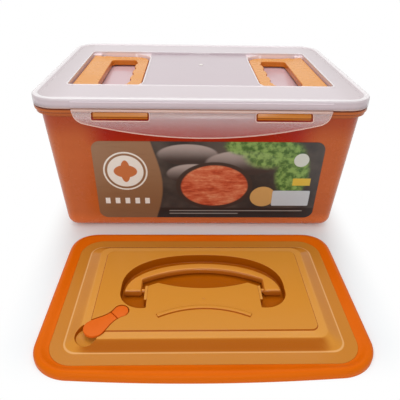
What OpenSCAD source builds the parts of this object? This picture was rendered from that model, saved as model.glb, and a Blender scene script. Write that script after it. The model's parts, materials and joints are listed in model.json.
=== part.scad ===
// Kimchi container: drafted tub, latched lid with two folding handles, and a press lid that lies in front.
// Millimetres. Origin at the middle of the tub's base, +Z up, the label faces -Y.

/* [Tub] */
// Outer width of the wall at the rim
tub_w = 305; // [270:1:360]
// Outer depth of the wall at the rim
tub_d = 223; // [200:1:260]
// Height of the brim above the base
tub_h = 143.5; // [110:0.5:220]
// Wall thickness
tub_wall = 2.4; // [1.8:0.1:3.2]
// How far each wall leans in from the rim to the base
tub_draft = 9.5; // [3:0.5:10]
// Outer radius of the upright corners at the rim
tub_corner_r = 20; // [20:0.5:34]
// Rounding between the wall and the base
base_r = 9; // [5:0.5:9.5]

/* [Rim and lugs] */
// How far the rim band stands out from the wall
rim_reach = 4; // [3.5:0.5:6]
// Height of the rim band
rim_h = 8; // [7:0.5:12]
// Thickness of the rim band
rim_wall = 2.2; // [1.6:0.1:3]
// Height of the brim above the rim band
brim_h = 6; // [5:0.5:9]
// Length of a latch lug
lug_l = 49; // [30:1:50]
// Distance of the middle of a lug from the middle of the tub
lug_x = 74.5; // [60:0.5:80]
// How far a lug stands out from the rim band
lug_out = 2.5; // [1.5:0.1:3]

/* [Lid] */
// How far the skirt stands out past the rim band
skirt_over = 1.5; // [1.2:0.1:3]
// Thickness of the lid
lid_wall = 2.2; // [1.6:0.1:3]
// Clear height between the rim band and the skirt
skirt_gap = 1; // [0.6:0.1:2]
// Rounding of the lid's outer top edge
lid_edge_r = 2.5; // [1:0.1:4]
// Width of the raised border
border_w = 6; // [4:0.5:8]
// Height of the raised border
border_h = 0.8; // [0.4:0.1:1.5]
// Width of the frame outside a pocket
frame_end_w = 27; // [20:0.5:32]
// How far the panel lies below the frame
panel_drop = 2.6; // [1.5:0.1:3.5]
// Thickness of the silicone ring
gasket_h = 1.2; // [1:0.1:2]
// Width of the silicone ring
gasket_w = 4.4; // [3.6:0.2:4.6]

/* [Flaps] */
// How far the skirt stands out above a flap
pad_out = 1.2; // [1:0.1:1.6]
// Width of a flap
flap_w = 236.5; // [220:0.5:244]
// Height of a flap below its hinge line
flap_h = 24.5; // [22:0.5:34]
// Thickness of a flap
flap_t = 1.8; // [1.4:0.1:2.2]
// Radius of the flap's ends
flap_end_r = 14; // [10:0.5:18]
// Radius of the flap's lower edge
flap_arc_r = 460; // [400:10:700]
// How far the lower edge flares outward
flap_flare = 2.2; // [1:0.1:4]
// Length of a slot
slot_l = 52; // [51:0.5:56]
// Height of a slot
slot_h = 7.4; // [6.4:0.1:8]

/* [Lid handles] */
// Length of a handle, from end to end
handle_l = 137; // [110:1:156]
// Reach of a handle, from its hinge edge to its grip edge
handle_reach = 67.5; // [60:0.5:70]
// Thickness of a handle
handle_t = 6.5; // [5:0.1:7]
// Width of the hinge bar
hinge_bar_w = 23.5; // [18:0.5:26]
// Width of the grip bar
grip_w = 14; // [10:0.5:18]
// Width of the two end bars
end_bar_w = 17; // [12:0.5:20]
// Radius of the corners on the grip side
handle_corner_r = 19; // [12:0.5:24]
// Radius of the pivot pins
pin_r = 2.5; // [2:0.1:3]
// Running clearance around a pin
pin_gap = 0.06; // [0.03:0.01:0.1]
// Clear space at each end of a handle
handle_gap = 2.5; // [2:0.5:4]
// Depth of a pocket below the frame
pocket_drop = 13.2; // [12.4:0.2:16]

/* [Press lid] */
// Width over the seal
press_w = 259; // [240:1:270]
// Depth over the seal
press_d = 173; // [164:1:176]
// Distance of its middle in front of the tub's middle
press_y = 210; // [210:1:300]
// Outer corner radius of the seal
seal_r = 32; // [26:0.5:40]
// Width of the seal around the plate
seal_w = 12; // [10:0.5:14]
// Height of the seal's outer edge
seal_h = 8; // [7:0.5:10]
// How far the flange lies below the seal's outer edge
seal_dish = 2.5; // [1:0.1:3]
// Width of the flange
flange_w = 10; // [7:0.5:12]
// Width of the slope at the front and the back
slope_w = 9.5; // [8:0.5:14]
// Width of the slope at the two ends
slope_end_w = 12.5; // [8:0.5:15]
// Height of the plateau above the flange
plateau_h = 6.5; // [6:0.5:10]
// Thickness of the plate
plate_t = 2.2; // [1.8:0.1:3]

/* [Press handle] */
// Distance between the outer sides of the handle's feet
bow_w = 136; // [120:1:140]
// Rise of the bow behind its pivot line
bow_rise = 34.5; // [32:0.5:36]
// Width of the bow in its middle
bow_t = 9; // [7:0.5:11]
// Thickness of the bow
bow_h = 6.2; // [5:0.1:6.6]
// Width of a foot
foot_w = 15.5; // [13:0.5:18]
// Distance of the pivot line in front of the plate's middle
bow_y = 1.3; // [0:0.1:3]

/* [Vent tab] */
// Distance of the fixed end left of the plate's middle
vent_x = 67; // [64:0.5:68]
// Distance of the fixed end in front of the plate's middle
vent_y = 28.5; // [27:0.5:31]
// Length between the round ends
vent_l = 25; // [22:0.5:27]
// Radius of the fixed end
vent_small_r = 6; // [5:0.1:7]
// Radius of the lifting end
vent_big_r = 8.4; // [7:0.1:9]
// Thickness of the tab
vent_t = 2.4; // [2:0.1:2.6]

/* [Label] */
// Width of the label
label_w = 227; // [160:1:234]
// Height of the label
label_h = 91; // [60:1:94]
// Distance of the label's middle to the right of the tub's middle
label_x = 7; // [-8:0.5:8]
// Height of the label's lower edge above the base
label_z = 13.5; // [12:0.5:20]
// Thickness of the label
label_t = 0.3; // [0.2:0.05:0.5]
// Radius of the label's corners
label_r = 9; // [4:0.5:12]
// Width of the blank sticker
sticker_w = 39; // [20:1:50]
// Height of the blank sticker
sticker_h = 19; // [10:1:24]
// Thickness of the blank sticker
sticker_t = 0.2; // [0.1:0.05:0.4]
// Distance of the sticker from the label's right edge
sticker_in = 7; // [2:0.5:20]
// Distance of the sticker from the label's lower edge
sticker_up = 16; // [2:0.5:40]

/* [Hidden] */
$fn = 96;
// Gap between pieces that move past each other
gap = 0.3;
rim_z = tub_h - brim_h;
lip_x = tub_corner_r + rim_reach;
lean = tub_draft / rim_z;
lid_reach = rim_reach + skirt_over;
lid_w = tub_w + 2 * lid_reach;
lid_d = tub_d + 2 * lid_reach;
lid_r = tub_corner_r + lid_reach;
field_w = lid_w - 2 * frame_end_w;
field_d = handle_l + 2 * handle_gap;
skirt_z = rim_z + skirt_gap;
under_z = tub_h + gap + gasket_h;
frame_z = under_z + lid_wall;
lid_top = frame_z + border_h;
panel_z = frame_z - panel_drop;
pocket_z = frame_z - pocket_drop;
pocket_r = handle_corner_r + 1.5;
pocket_in = field_w / 2 - handle_reach - 3.5;
pad_y = lid_d / 2 + pad_out;
hinge_y = pad_y - flap_t / 2;
hinge_z = skirt_z - 0.5 - flap_t / 2;
flap_neck = 3.2;
slot_top = hinge_z - 1.1;
slot_low = slot_top - slot_h;
lug_y = tub_d / 2 + rim_reach + lug_out;
lug_top = slot_top - 0.6;
lug_low = max(slot_low + 0.7, rim_z - rim_h);
axle_x = field_w / 2 - 5.5;
axle_z = frame_z - 3.6 - handle_t / 2;
bar_out = axle_x + 3.6;
bar_in = bar_out - hinge_bar_w;
grip_in = bar_out - handle_reach;
grip_out = grip_in + grip_w;
ear_y = handle_l / 2 - 8.5;
boss_w = 9;
plate_w = press_w - 2 * seal_w;
plate_d = press_d - 2 * seal_w;
plate_r = seal_r - seal_w;
flange_z = seal_h - seal_dish;
flange_low = flange_z - plate_t;
foot_x = plate_w - 2 * flange_w;
foot_y = plate_d - 2 * flange_w;
top_x = foot_x - 2 * slope_end_w;
top_y = foot_y - 2 * slope_w;
plateau_z = flange_z + plateau_h;
face_z = plateau_z + 1;
bed_z = flange_z - 1.2;
bow_axis_z = bed_z + 1 + bow_h / 2;
bow_in = bow_w / 2 - foot_w;
bow_sag = 13.4;
inner_r = (pow(bow_in, 2) + pow(bow_sag, 2)) / (2 * bow_sag);
inner_c = bow_rise - bow_t - inner_r;
toe = bow_h / 2;
toe_r = 1.5;
pocket_x = bow_w / 2 + 2.1;
pocket_rise = bow_rise + 9.6;
lobe_r = 18.8;
lobe_y = -5.2;
island_x = bow_in - 4.9;
island_y = bow_rise - bow_t - 11.2;
island_r = 97;
crescent_r = 115;
crescent_y = island_y - 15.1;
post_w = 2.5;
post_l = 17;
post_back = 3.4;
post_z = face_z - 1.2;
thumb_r = 9;
thumb_x = vent_l + 7;
rib_r = 80;
rib_y = 25;
rib_w = 2.8;
rib_half = 37.5;
vent_turn = 43.7;
vent_cut = 6;
vent_waist = vent_small_r * 0.73;
vent_knuckle = vent_cut + 0.3 + vent_t / 2;
vent_bed = face_z - vent_t - 0.2;
vent_axis_z = vent_bed + 0.2 + vent_t / 2;
plug_x = 17;
wall_lean = atan(lean);

// Half-size of the tub's outer wall at height z, measured from a corner's centre
function wall_x(z) = tub_corner_r - lean * (rim_z - z);

// Points of an arc about (cx, cy)
function arc(cx, cy, r, from, to, steps) =
    [for (i = [0:steps]) let (a = from + (to - from) * i / steps) [cx + r * cos(a), cy + r * sin(a)]];

// Points of the upper half of an oval about (0, y), from right to left
function oval(half, rise, y, power) =
    [for (i = [0:48]) let (c = cos(i * 3.75), v = sin(i * 3.75))
        [half * sign(c) * pow(abs(c), 2 / power), y + rise * pow(v, 2 / power)]];

// Rectangle with round corners
module round_rect(w, d, r) {
    square([w - 2 * r, d], center = true);
    square([w, d - 2 * r], center = true);
    for (sx = [-1, 1]) {
        for (sy = [-1, 1]) {
            translate([sx * (w / 2 - r), sy * (d / 2 - r)]) circle(r);
        }
    }
}

// Carries a profile around a rectangle with round corners, x measured from a corner's centre
module around(w, d, r) {
    for (k = [0:3]) {
        along = k % 2 == 0 ? d - 2 * r : w - 2 * r;
        reach = k % 2 == 0 ? w / 2 - r : d / 2 - r;
        rotate([0, 0, 90 * k]) {
            translate([reach, along / 2, 0]) rotate([90, 0, 0]) linear_extrude(along) children();
            translate([reach, along / 2, 0]) rotate_extrude(angle = 90) children();
        }
    }
}

// Section of the tub wall, from the floor's edge up to the brim
module wall_section() {
    out_x = wall_x(base_r) - base_r;
    in_r = base_r - tub_wall;
    polygon(concat(
        [[out_x - 1, 0]],
        arc(out_x, base_r, base_r, -90, 0, 10),
        [[wall_x(rim_z - rim_wall), rim_z - rim_wall],
         [lip_x - rim_wall, rim_z - rim_wall],
         [lip_x - rim_wall, rim_z - rim_h],
         [lip_x, rim_z - rim_h],
         [lip_x, rim_z - rim_h / 2],
         [lip_x - 0.6, rim_z - rim_h / 2 + 0.6],
         [lip_x - 0.6, rim_z],
         [tub_corner_r, rim_z],
         [tub_corner_r, tub_h],
         [tub_corner_r - tub_wall, tub_h],
         [tub_corner_r - tub_wall, rim_z]],
        arc(out_x, base_r, in_r, 0, -90, 10),
        [[out_x - 1, base_r - in_r]]));
}

module lug() {
    translate([lug_x + lug_l / 2, 0, 0])
    rotate([0, -90, 0])
    linear_extrude(lug_l)
    polygon([[lug_low, -lug_y + lug_out + 1],
             [lug_low, -lug_y],
             [lug_low + 3.2, -lug_y],
             [lug_top, -lug_y + 1.4],
             [lug_top, -lug_y + lug_out + 1]]);
}

module tub() {
    inset = tub_corner_r - wall_x(base_r) + base_r;
    color([0.62, 0.29, 0.12]) {
        around(tub_w, tub_d, tub_corner_r) wall_section();
        linear_extrude(tub_wall)
        round_rect(tub_w - 2 * inset, tub_d - 2 * inset, tub_corner_r - inset);
        for (turn = [0, 180]) {
            rotate([0, 0, turn]) {
                lug();
                mirror([1, 0, 0]) lug();
            }
        }
    }
}

// Lays a flat shape on the drafted front wall, its foot at height z
module on_front(z, lift) {
    front = tub_d / 2 - lean * (rim_z - z);
    translate([0, -front, z])
    rotate([90 + wall_lean, 0, 0])
    translate([0, 0, lift])
    children();
}

module front_label() {
    color([0.24, 0.19, 0.16])
    on_front(label_z, 0.02)
    linear_extrude(label_t)
    translate([label_x, label_h / 2])
    round_rect(label_w, label_h, label_r);
}

module price_sticker() {
    color([0.78, 0.82, 0.84])
    on_front(label_z, label_t + 0.04)
    linear_extrude(sticker_t)
    translate([label_x + label_w / 2 - sticker_in - sticker_w / 2, sticker_up + sticker_h / 2])
    round_rect(sticker_w, sticker_h, 1.5);
}

// Section of the skirt, the raised border and the two ribs beside the silicone ring
module skirt_section() {
    rib_in = tub_corner_r - tub_wall / 2 - gasket_w / 2 - 1;
    rib_out = tub_corner_r - tub_wall / 2 + gasket_w / 2 + 0.4;
    polygon(concat(
        [[lid_r, skirt_z]],
        arc(lid_r - lid_edge_r, lid_top - lid_edge_r, lid_edge_r, 0, 90, 8),
        [[lid_r - border_w + border_h, lid_top],
         [lid_r - border_w, frame_z],
         [rib_in - 5, frame_z],
         [rib_in - 5, under_z],
         [rib_in - 2, under_z],
         [rib_in - 2, under_z - 5.5],
         [rib_in, under_z - 5.5],
         [rib_in, under_z],
         [rib_out, under_z],
         [rib_out, under_z - 3],
         [rib_out + 1.2, under_z - 3],
         [rib_out + 1.2, under_z],
         [lid_r - lid_wall, under_z],
         [lid_r - lid_wall, skirt_z]]));
}

// Plan of the right-hand pocket, grown by g
module pocket_plan(g) {
    half = field_d / 2;
    translate([pocket_in + pocket_r, -half - g]) square([field_w / 2 - pocket_in - pocket_r + g, field_d + 2 * g]);
    translate([pocket_in - g, -half + pocket_r]) square([pocket_r + g + 1, field_d - 2 * pocket_r]);
    for (s = [-1, 1]) {
        translate([pocket_in + pocket_r, s * (half - pocket_r)]) circle(pocket_r + g);
    }
}

module pivot_boss() {
    long = field_d / 2 - ear_y - 1;
    difference() {
        translate([axle_x - boss_w / 2, ear_y + 1, pocket_z - 0.5])
        cube([field_w / 2 - axle_x + boss_w / 2 + 0.5, long + 0.5, panel_z - pocket_z + 0.5]);
        translate([axle_x, ear_y, axle_z])
        rotate([-90, 0, 0])
        cylinder(r = pin_r + pin_gap, h = long - 1);
    }
}

// Section of the skirt above a flap, its lower edge cut back so that the flap can swing up past it
module pad_section() {
    top = frame_z - lid_edge_r + 0.6;
    polygon([[pad_y - lid_wall, skirt_z],
             [pad_y - pad_out, skirt_z],
             [pad_y, skirt_z + pad_out],
             [pad_y, top],
             [pad_y - lid_wall, top]]);
}

module lid_panel() {
    rib_in = tub_corner_r - tub_wall / 2 - gasket_w / 2 - 1;
    inset = lid_r - rib_in + 5;
    color([0.93, 0.9, 0.9, 0.8]) {
        around(lid_w, lid_d, lid_r) skirt_section();
        for (turn = [0, 180]) {
            rotate([0, 0, turn])
            translate([-flap_w / 2, 0, 0])
            rotate([90, 0, 90])
            linear_extrude(flap_w)
            mirror([1, 0])
            pad_section();
        }
        difference() {
            union() {
                translate([0, 0, under_z])
                linear_extrude(lid_wall)
                round_rect(lid_w - 2 * inset, lid_d - 2 * inset, lid_r - inset);
                translate([0, 0, panel_z - lid_wall])
                linear_extrude(panel_drop + lid_wall)
                square([field_w + 2 * lid_wall, field_d + 2 * lid_wall], center = true);
                for (s = [0, 1]) {
                    mirror([s, 0, 0])
                    translate([0, 0, pocket_z - lid_wall])
                    linear_extrude(panel_z - pocket_z + lid_wall)
                    pocket_plan(lid_wall);
                }
            }
            translate([0, 0, panel_z])
            linear_extrude(panel_drop + 1)
            square([field_w, field_d], center = true);
            for (s = [0, 1]) {
                mirror([s, 0, 0])
                translate([0, 0, pocket_z])
                linear_extrude(pocket_drop + 1)
                pocket_plan(0);
            }
        }
        for (sx = [0, 1]) {
            for (sy = [0, 1]) {
                mirror([sx, 0, 0]) mirror([0, sy, 0]) pivot_boss();
            }
        }
    }
}

module lid_gasket() {
    mid = tub_corner_r - tub_wall / 2;
    color([0.9, 0.88, 0.85])
    around(lid_w, lid_d, lid_r)
    translate([mid - gasket_w / 2, under_z - gasket_h])
    square([gasket_w, gasket_h]);
}

// Front view of a flap, x across and y up
module flap_plan() {
    low = hinge_z - flap_h;
    cx = flap_w / 2 - flap_end_r;
    cy = low + flap_arc_r - sqrt(pow(flap_arc_r - flap_end_r, 2) - cx * cx);
    side = cx + flap_end_r * cx / (flap_arc_r - flap_end_r);
    difference() {
        intersection() {
            union() {
                intersection() {
                    translate([0, low + flap_arc_r]) circle(flap_arc_r, $fn = 720);
                    translate([-side, low - 1]) square([2 * side, flap_h + 1]);
                }
                for (s = [-1, 1]) {
                    translate([s * cx, cy]) circle(flap_end_r);
                    translate([s * cx - flap_end_r, cy]) square([2 * flap_end_r, hinge_z]);
                }
            }
            translate([-flap_w / 2, low - 1]) square([flap_w, flap_h + 1]);
        }
        for (s = [-1, 1]) {
            translate([s * lug_x, slot_low + slot_h / 2]) round_rect(slot_l, slot_h, 1.8);
        }
    }
}

// Side view of a flap: out from the hinge, past the lugs, and flaring to its lower edge
module flap_section() {
    low = hinge_z - flap_h - 1;
    step = lug_y + 0.4;
    polygon([[pad_y - flap_t, hinge_z],
             [pad_y - flap_t, hinge_z - flap_neck - 0.3],
             [step, slot_low + 2],
             [step + flap_flare, low],
             [step + flap_flare + flap_t, low],
             [step + flap_t, slot_low + 2.4],
             [pad_y, hinge_z - flap_neck],
             [pad_y, hinge_z]]);
}

module flap() {
    color([0.9, 0.84, 0.83, 0.7]) {
        intersection() {
            translate([0, -lid_d / 2 + flap_h, 0])
            rotate([90, 0, 0])
            linear_extrude(2 * flap_h)
            flap_plan();
            translate([-flap_w / 2, 0, 0])
            rotate([90, 0, 90])
            linear_extrude(flap_w)
            mirror([1, 0])
            flap_section();
        }
        translate([-flap_w / 2, -hinge_y, hinge_z])
        rotate([0, 90, 0])
        cylinder(d = flap_t, h = flap_w);
    }
}

module front_flap() {
    flap();
}

module back_flap() {
    rotate([0, 0, 180]) flap();
}

// Plan of the right-hand handle
module handle_plan() {
    half = handle_l / 2;
    hole_half = half - end_bar_w;
    difference() {
        union() {
            translate([grip_in + handle_corner_r, -half])
            square([axle_x - boss_w / 2 - 4 - grip_in - handle_corner_r, handle_l]);
            translate([bar_in, -ear_y]) square([axle_x - bar_in, 2 * ear_y]);
            translate([grip_in, -half + handle_corner_r]) square([handle_corner_r + 1, handle_l - 2 * handle_corner_r]);
            for (s = [-1, 1]) {
                translate([grip_in + handle_corner_r, s * (half - handle_corner_r)]) circle(handle_corner_r);
            }
        }
        translate([(grip_out + bar_in) / 2, 0]) round_rect(bar_in - grip_out, 2 * hole_half, 6);
        for (i = [-1.5:1:1.5]) {
            translate([grip_out + 9, i * (hole_half - 4) / 2]) circle(11);
        }
    }
}

module handle() {
    color([0.84, 0.55, 0.27]) {
        translate([0, 0, axle_z - handle_t / 2]) linear_extrude(handle_t) handle_plan();
        translate([axle_x, -ear_y, axle_z]) rotate([-90, 0, 0]) cylinder(d = handle_t, h = 2 * ear_y);
        translate([axle_x, -ear_y - 5, axle_z]) rotate([-90, 0, 0]) cylinder(r = pin_r, h = 2 * ear_y + 10);
    }
}

module left_handle() {
    rotate([0, 0, 180]) handle();
}

module right_handle() {
    handle();
}

// Sloped body of the plate, drawn in by g
module plateau(g) {
    hull() {
        translate([0, 0, g > 0 ? flange_low - 1 : flange_low])
        linear_extrude(g > 0 ? 1 : plate_t)
        round_rect(foot_x - 2 * g, foot_y - 2 * g, 11 - g, $fn = 32);
        translate([0, 0, plateau_z - g - 0.1])
        linear_extrude(0.1)
        round_rect(top_x - 2 * g, top_y - 2 * g, 8 - g, $fn = 32);
    }
}

// Plan of the press handle's pocket about its pivot line, grown by g
module bow_pocket_plan(g) {
    difference() {
        union() {
            polygon(oval(pocket_x + g, pocket_rise - 2 + g, 2, 2.3));
            translate([-pocket_x - g, lobe_y]) square([2 * (pocket_x + g), 2.1 - lobe_y]);
            for (s = [-1, 1]) {
                translate([s * (pocket_x - lobe_r), lobe_y]) circle(lobe_r + g);
            }
        }
        intersection() {
            translate([0, island_y - island_r]) circle(island_r - g);
            translate([-island_x + g, -pocket_rise]) square([2 * (island_x - g), 2 * pocket_rise]);
        }
    }
}

// Plan of the crescent finger recess inside the bow, grown by g
module crescent_plan(g) {
    intersection() {
        translate([0, island_y - island_r]) circle(island_r + 1 + g);
        translate([0, crescent_y + crescent_r]) circle(crescent_r + g);
    }
}

// Spoon outline of the vent tab about its fixed end, grown by g
module vent_plan(g) {
    neck = vent_waist + g;
    shoulder = vent_small_r * 0.87 + g;
    bowl = vent_big_r * 0.95 + g;
    circle(vent_small_r + g);
    translate([vent_l, 0]) circle(vent_big_r + g);
    polygon([[vent_small_r / 2, shoulder],
             [vent_knuckle, neck],
             [vent_l - vent_big_r * 0.3, bowl],
             [vent_l - vent_big_r * 0.3, -bowl],
             [vent_knuckle, -neck],
             [vent_small_r / 2, -shoulder]]);
}

module at_vent(z) {
    translate([-vent_x, -vent_y, z]) rotate([0, 0, 180 + vent_turn]) children();
}

module plate_solid() {
    translate([0, 0, flange_low])
    linear_extrude(plate_t)
    difference() {
        round_rect(plate_w, plate_d, plate_r);
        square([foot_x - 24, foot_y - 24], center = true);
    }
    difference() {
        plateau(0);
        plateau(plate_t);
    }
    translate([0, 0, plateau_z - 0.1])
    linear_extrude(1.1)
    round_rect(top_x - 12, top_y - 12, 6);
    translate([0, -bow_y, bed_z - plate_t])
    linear_extrude(plateau_z - bed_z + plate_t - 0.5)
    bow_pocket_plan(plate_t);
    translate([0, -bow_y, bed_z - plate_t])
    linear_extrude(plateau_z - bed_z + plate_t - 0.5)
    crescent_plan(plate_t);
    at_vent(vent_bed - 2.2)
    linear_extrude(plateau_z - 0.6 - vent_bed + 2.2)
    intersection() {
        vent_plan(2);
        translate([-vent_l, -vent_l]) square([2 * vent_l - 4, 2 * vent_l]);
    }
    intersection() {
        plateau(0);
        at_vent(0) translate([thumb_x, 0, 0]) cylinder(r = thumb_r + 2, h = 2 * face_z);
    }
    translate([0, -rib_y - rib_r, face_z - 0.2])
    linear_extrude(1.1)
    intersection() {
        difference() {
            circle(rib_r + rib_w / 2);
            circle(rib_r - rib_w / 2);
        }
        translate([-rib_half, 0]) square([2 * rib_half, 2 * rib_r]);
    }
}

// Upright that holds a pin of the press handle, on the right-hand side
module pin_post() {
    translate([island_x - 0.5, -bow_y + post_back - post_l, bed_z - 0.5])
    cube([post_w + 0.5, post_l, post_z - bed_z + 0.5]);
}

module press_plate() {
    color([0.78, 0.5, 0.2])
    translate([0, -press_y, 0])
    difference() {
        union() {
            difference() {
                plate_solid();
                translate([0, -bow_y, bed_z]) linear_extrude(face_z) bow_pocket_plan(0);
                translate([0, -bow_y, bed_z]) linear_extrude(face_z) crescent_plan(0);
            }
            pin_post();
            mirror([1, 0, 0]) pin_post();
        }
        at_vent(vent_bed) linear_extrude(face_z) vent_plan(0.5);
        at_vent(0) cylinder(r = 2.5, h = 20);
        at_vent(0) translate([plug_x, 0, 0]) cylinder(r = 3.7, h = 20);
        at_vent(flange_z + 1.5) translate([thumb_x, 0, 0]) cylinder(r = thumb_r, h = face_z);
        for (s = [-1, 1]) {
            translate([s * (bow_in - 1.6), -bow_y, bow_axis_z])
            rotate([0, 90, 0])
            cylinder(r = 2 + pin_gap, h = 9, center = true);
        }
    }
}

// Section of the wing seal: a groove under the flange, a dished top and a lip that turns down
module seal_section() {
    inner = seal_r - seal_w;
    polygon(concat(
        [[inner, flange_z]],
        arc(seal_r - 3, seal_h - 3, 3, 90, 0, 6),
        [[seal_r, 0.8],
         [seal_r - 0.8, 0],
         [seal_r - 2.4, 0],
         [seal_r - 3.2, 0.8],
         [seal_r - 3.2, flange_low - 1.8],
         [inner - 6, flange_low - 1.8],
         [inner - 6, flange_low],
         [inner, flange_low]]));
}

module press_seal() {
    color([0.85, 0.36, 0.04])
    translate([0, -press_y, 0])
    around(press_w, press_d, seal_r)
    seal_section();
}

// Plan of the bow behind its two feet, about the pivot line
module bow_plan() {
    difference() {
        polygon(oval(bow_w / 2, bow_rise + toe, -toe, 2.05));
        intersection() {
            translate([0, inner_c]) circle(inner_r);
            translate([-bow_in, -20]) square([2 * bow_in, 20 + bow_rise]);
        }
        translate([-bow_w, -20]) square([2 * bow_w, 21.5]);
    }
}

// Side view of a foot, its front edges rounded
module foot_section() {
    polygon(concat(
        arc(toe_r - toe, bow_h / 2 - toe_r, toe_r, 90, 180, 8),
        arc(toe_r - toe, toe_r - bow_h / 2, toe_r, 180, 270, 8),
        [[2, -bow_h / 2],
         [2, bow_h / 2]]));
}

module press_handle() {
    color([0.78, 0.5, 0.2])
    translate([0, -press_y - bow_y, bow_axis_z]) {
        translate([0, 0, -bow_h / 2]) linear_extrude(bow_h) bow_plan();
        for (s = [0, 1]) {
            mirror([s, 0, 0]) {
                translate([bow_in, 0, 0])
                rotate([90, 0, 90])
                linear_extrude(foot_w - 0.6)
                foot_section();
                translate([bow_in - 4.5, 0, 0])
                rotate([0, 90, 0])
                cylinder(r = 2, h = 11);
            }
        }
    }
}

module vent_anchor() {
    color([0.86, 0.36, 0.08])
    translate([0, -press_y, 0]) {
        at_vent(vent_bed)
        linear_extrude(vent_t)
        intersection() {
            vent_plan(0);
            translate([-10, -10]) square([10 + vent_cut, 20]);
        }
        at_vent(vent_bed - 3.6) cylinder(r = 2.45, h = 3.8);
        at_vent(vent_bed - 3.6) cylinder(r = 3.4, h = 1.2);
    }
}

module vent_tab() {
    color([0.86, 0.36, 0.08])
    translate([0, -press_y, 0]) {
        at_vent(vent_axis_z - vent_t / 2)
        linear_extrude(vent_t)
        intersection() {
            vent_plan(0);
            translate([vent_knuckle, -vent_l]) square([2 * vent_l, 2 * vent_l]);
        }
        at_vent(vent_axis_z)
        translate([vent_knuckle, 0, 0])
        rotate([90, 0, 0])
        cylinder(d = vent_t, h = 2 * vent_waist, center = true);
        at_vent(vent_bed - 2)
        translate([plug_x, 0, 0])
        cylinder(r1 = 2.6, r2 = 3.3, h = 2.6);
    }
}

tub();
front_label();
price_sticker();
lid_panel();
lid_gasket();
front_flap();
back_flap();
left_handle();
right_handle();
press_plate();
press_seal();
press_handle();
vent_anchor();
vent_tab();
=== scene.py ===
"""Kimchi container with a latched lid, two folding handles and a press lid: dressed model, light and camera.

Sizes are in millimetres until a mesh is made, where they become metres. The frame is the part's own:
the origin is in the middle of the tub's base, +Z is up and the label faces -Y.
"""

from __future__ import annotations

import json
import logging
import math
from dataclasses import dataclass, field
from enum import Enum
from typing import Any, Sequence

import bmesh
import bpy
import numpy as np
from mathutils import Matrix, Vector
from mathutils.geometry import delaunay_2d_cdt

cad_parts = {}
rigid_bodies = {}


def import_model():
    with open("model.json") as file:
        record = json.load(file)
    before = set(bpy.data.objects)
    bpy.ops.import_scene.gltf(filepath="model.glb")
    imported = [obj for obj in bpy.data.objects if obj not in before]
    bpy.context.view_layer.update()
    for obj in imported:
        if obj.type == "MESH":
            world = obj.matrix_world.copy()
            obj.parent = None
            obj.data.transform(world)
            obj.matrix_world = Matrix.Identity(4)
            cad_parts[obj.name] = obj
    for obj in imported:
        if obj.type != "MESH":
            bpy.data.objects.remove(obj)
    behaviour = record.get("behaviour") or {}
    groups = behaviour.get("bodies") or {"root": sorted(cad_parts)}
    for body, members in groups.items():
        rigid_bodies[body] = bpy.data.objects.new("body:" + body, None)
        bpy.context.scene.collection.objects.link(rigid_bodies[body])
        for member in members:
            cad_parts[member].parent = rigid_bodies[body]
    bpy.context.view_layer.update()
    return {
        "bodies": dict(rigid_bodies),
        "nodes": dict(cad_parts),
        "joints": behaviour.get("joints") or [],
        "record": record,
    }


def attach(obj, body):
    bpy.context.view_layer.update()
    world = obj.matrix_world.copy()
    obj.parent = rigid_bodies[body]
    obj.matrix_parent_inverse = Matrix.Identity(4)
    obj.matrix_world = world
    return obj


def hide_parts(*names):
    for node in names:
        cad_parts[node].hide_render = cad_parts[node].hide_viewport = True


LOG = logging.getLogger("kimchi_container")
MM = 0.001
TINY = 1e-9
WHITE = (1.0, 1.0, 1.0, 1.0)
RGB = tuple[int, int, int]


class Turn(Enum):
    """Where a piece that comes in pairs stands: as drawn, or half a turn about the upright axis."""

    DRAWN = 1.0
    HALF = -1.0


def linear(colour: RGB) -> tuple[float, float, float, float]:
    """Turns a screen colour into scene-linear values.

    Args:
        colour: Red, green and blue from 0 to 255.

    Returns:
        The linear colour with an alpha of 1.
    """
    c = np.asarray(colour, float) / 255.0
    low = c / 12.92
    high = ((c + 0.055) / 1.055) ** 2.4
    r, g, b = np.where(c <= 0.04045, low, high)
    return (float(r), float(g), float(b), 1.0)


def ease(x: np.ndarray, low: float, high: float) -> np.ndarray:
    """Smooth step: 0 below low, 1 above high, and 3t^2 - 2t^3 between."""
    t = np.clip((x - low) / (high - low), 0.0, 1.0)
    return t * t * (3.0 - 2.0 * t)


@dataclass
class Patch:
    """Part of a surface.

    Attributes:
        points: Points in millimetres, one row each.
        quads: Corner numbers of the four-sided faces.
        caps: Corner numbers of the flat faces that close an end.
    """

    points: np.ndarray
    quads: np.ndarray
    caps: list[np.ndarray] = field(default_factory=list)

    def turned(self, turn: Turn) -> "Patch":
        """Returns the patch after its turn about the upright axis."""
        return Patch(self.points * np.array([turn.value, turn.value, 1.0]), self.quads, self.caps)

    def moved(self, x: float, y: float, z: float) -> "Patch":
        """Returns the patch moved by x, y and z."""
        return Patch(self.points + np.array([x, y, z]), self.quads, self.caps)


def join(patches: Sequence[Patch]) -> Patch:
    """Puts patches into one.

    Args:
        patches: The patches, in any order.

    Returns:
        One patch with all their points and faces.
    """
    starts = np.cumsum([0] + [len(p.points) for p in patches])
    quads = [p.quads + s for p, s in zip(patches, starts)]
    caps = [c + s for p, s in zip(patches, starts) for c in p.caps]
    return Patch(np.vstack([p.points for p in patches]), np.vstack(quads), caps)


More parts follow.
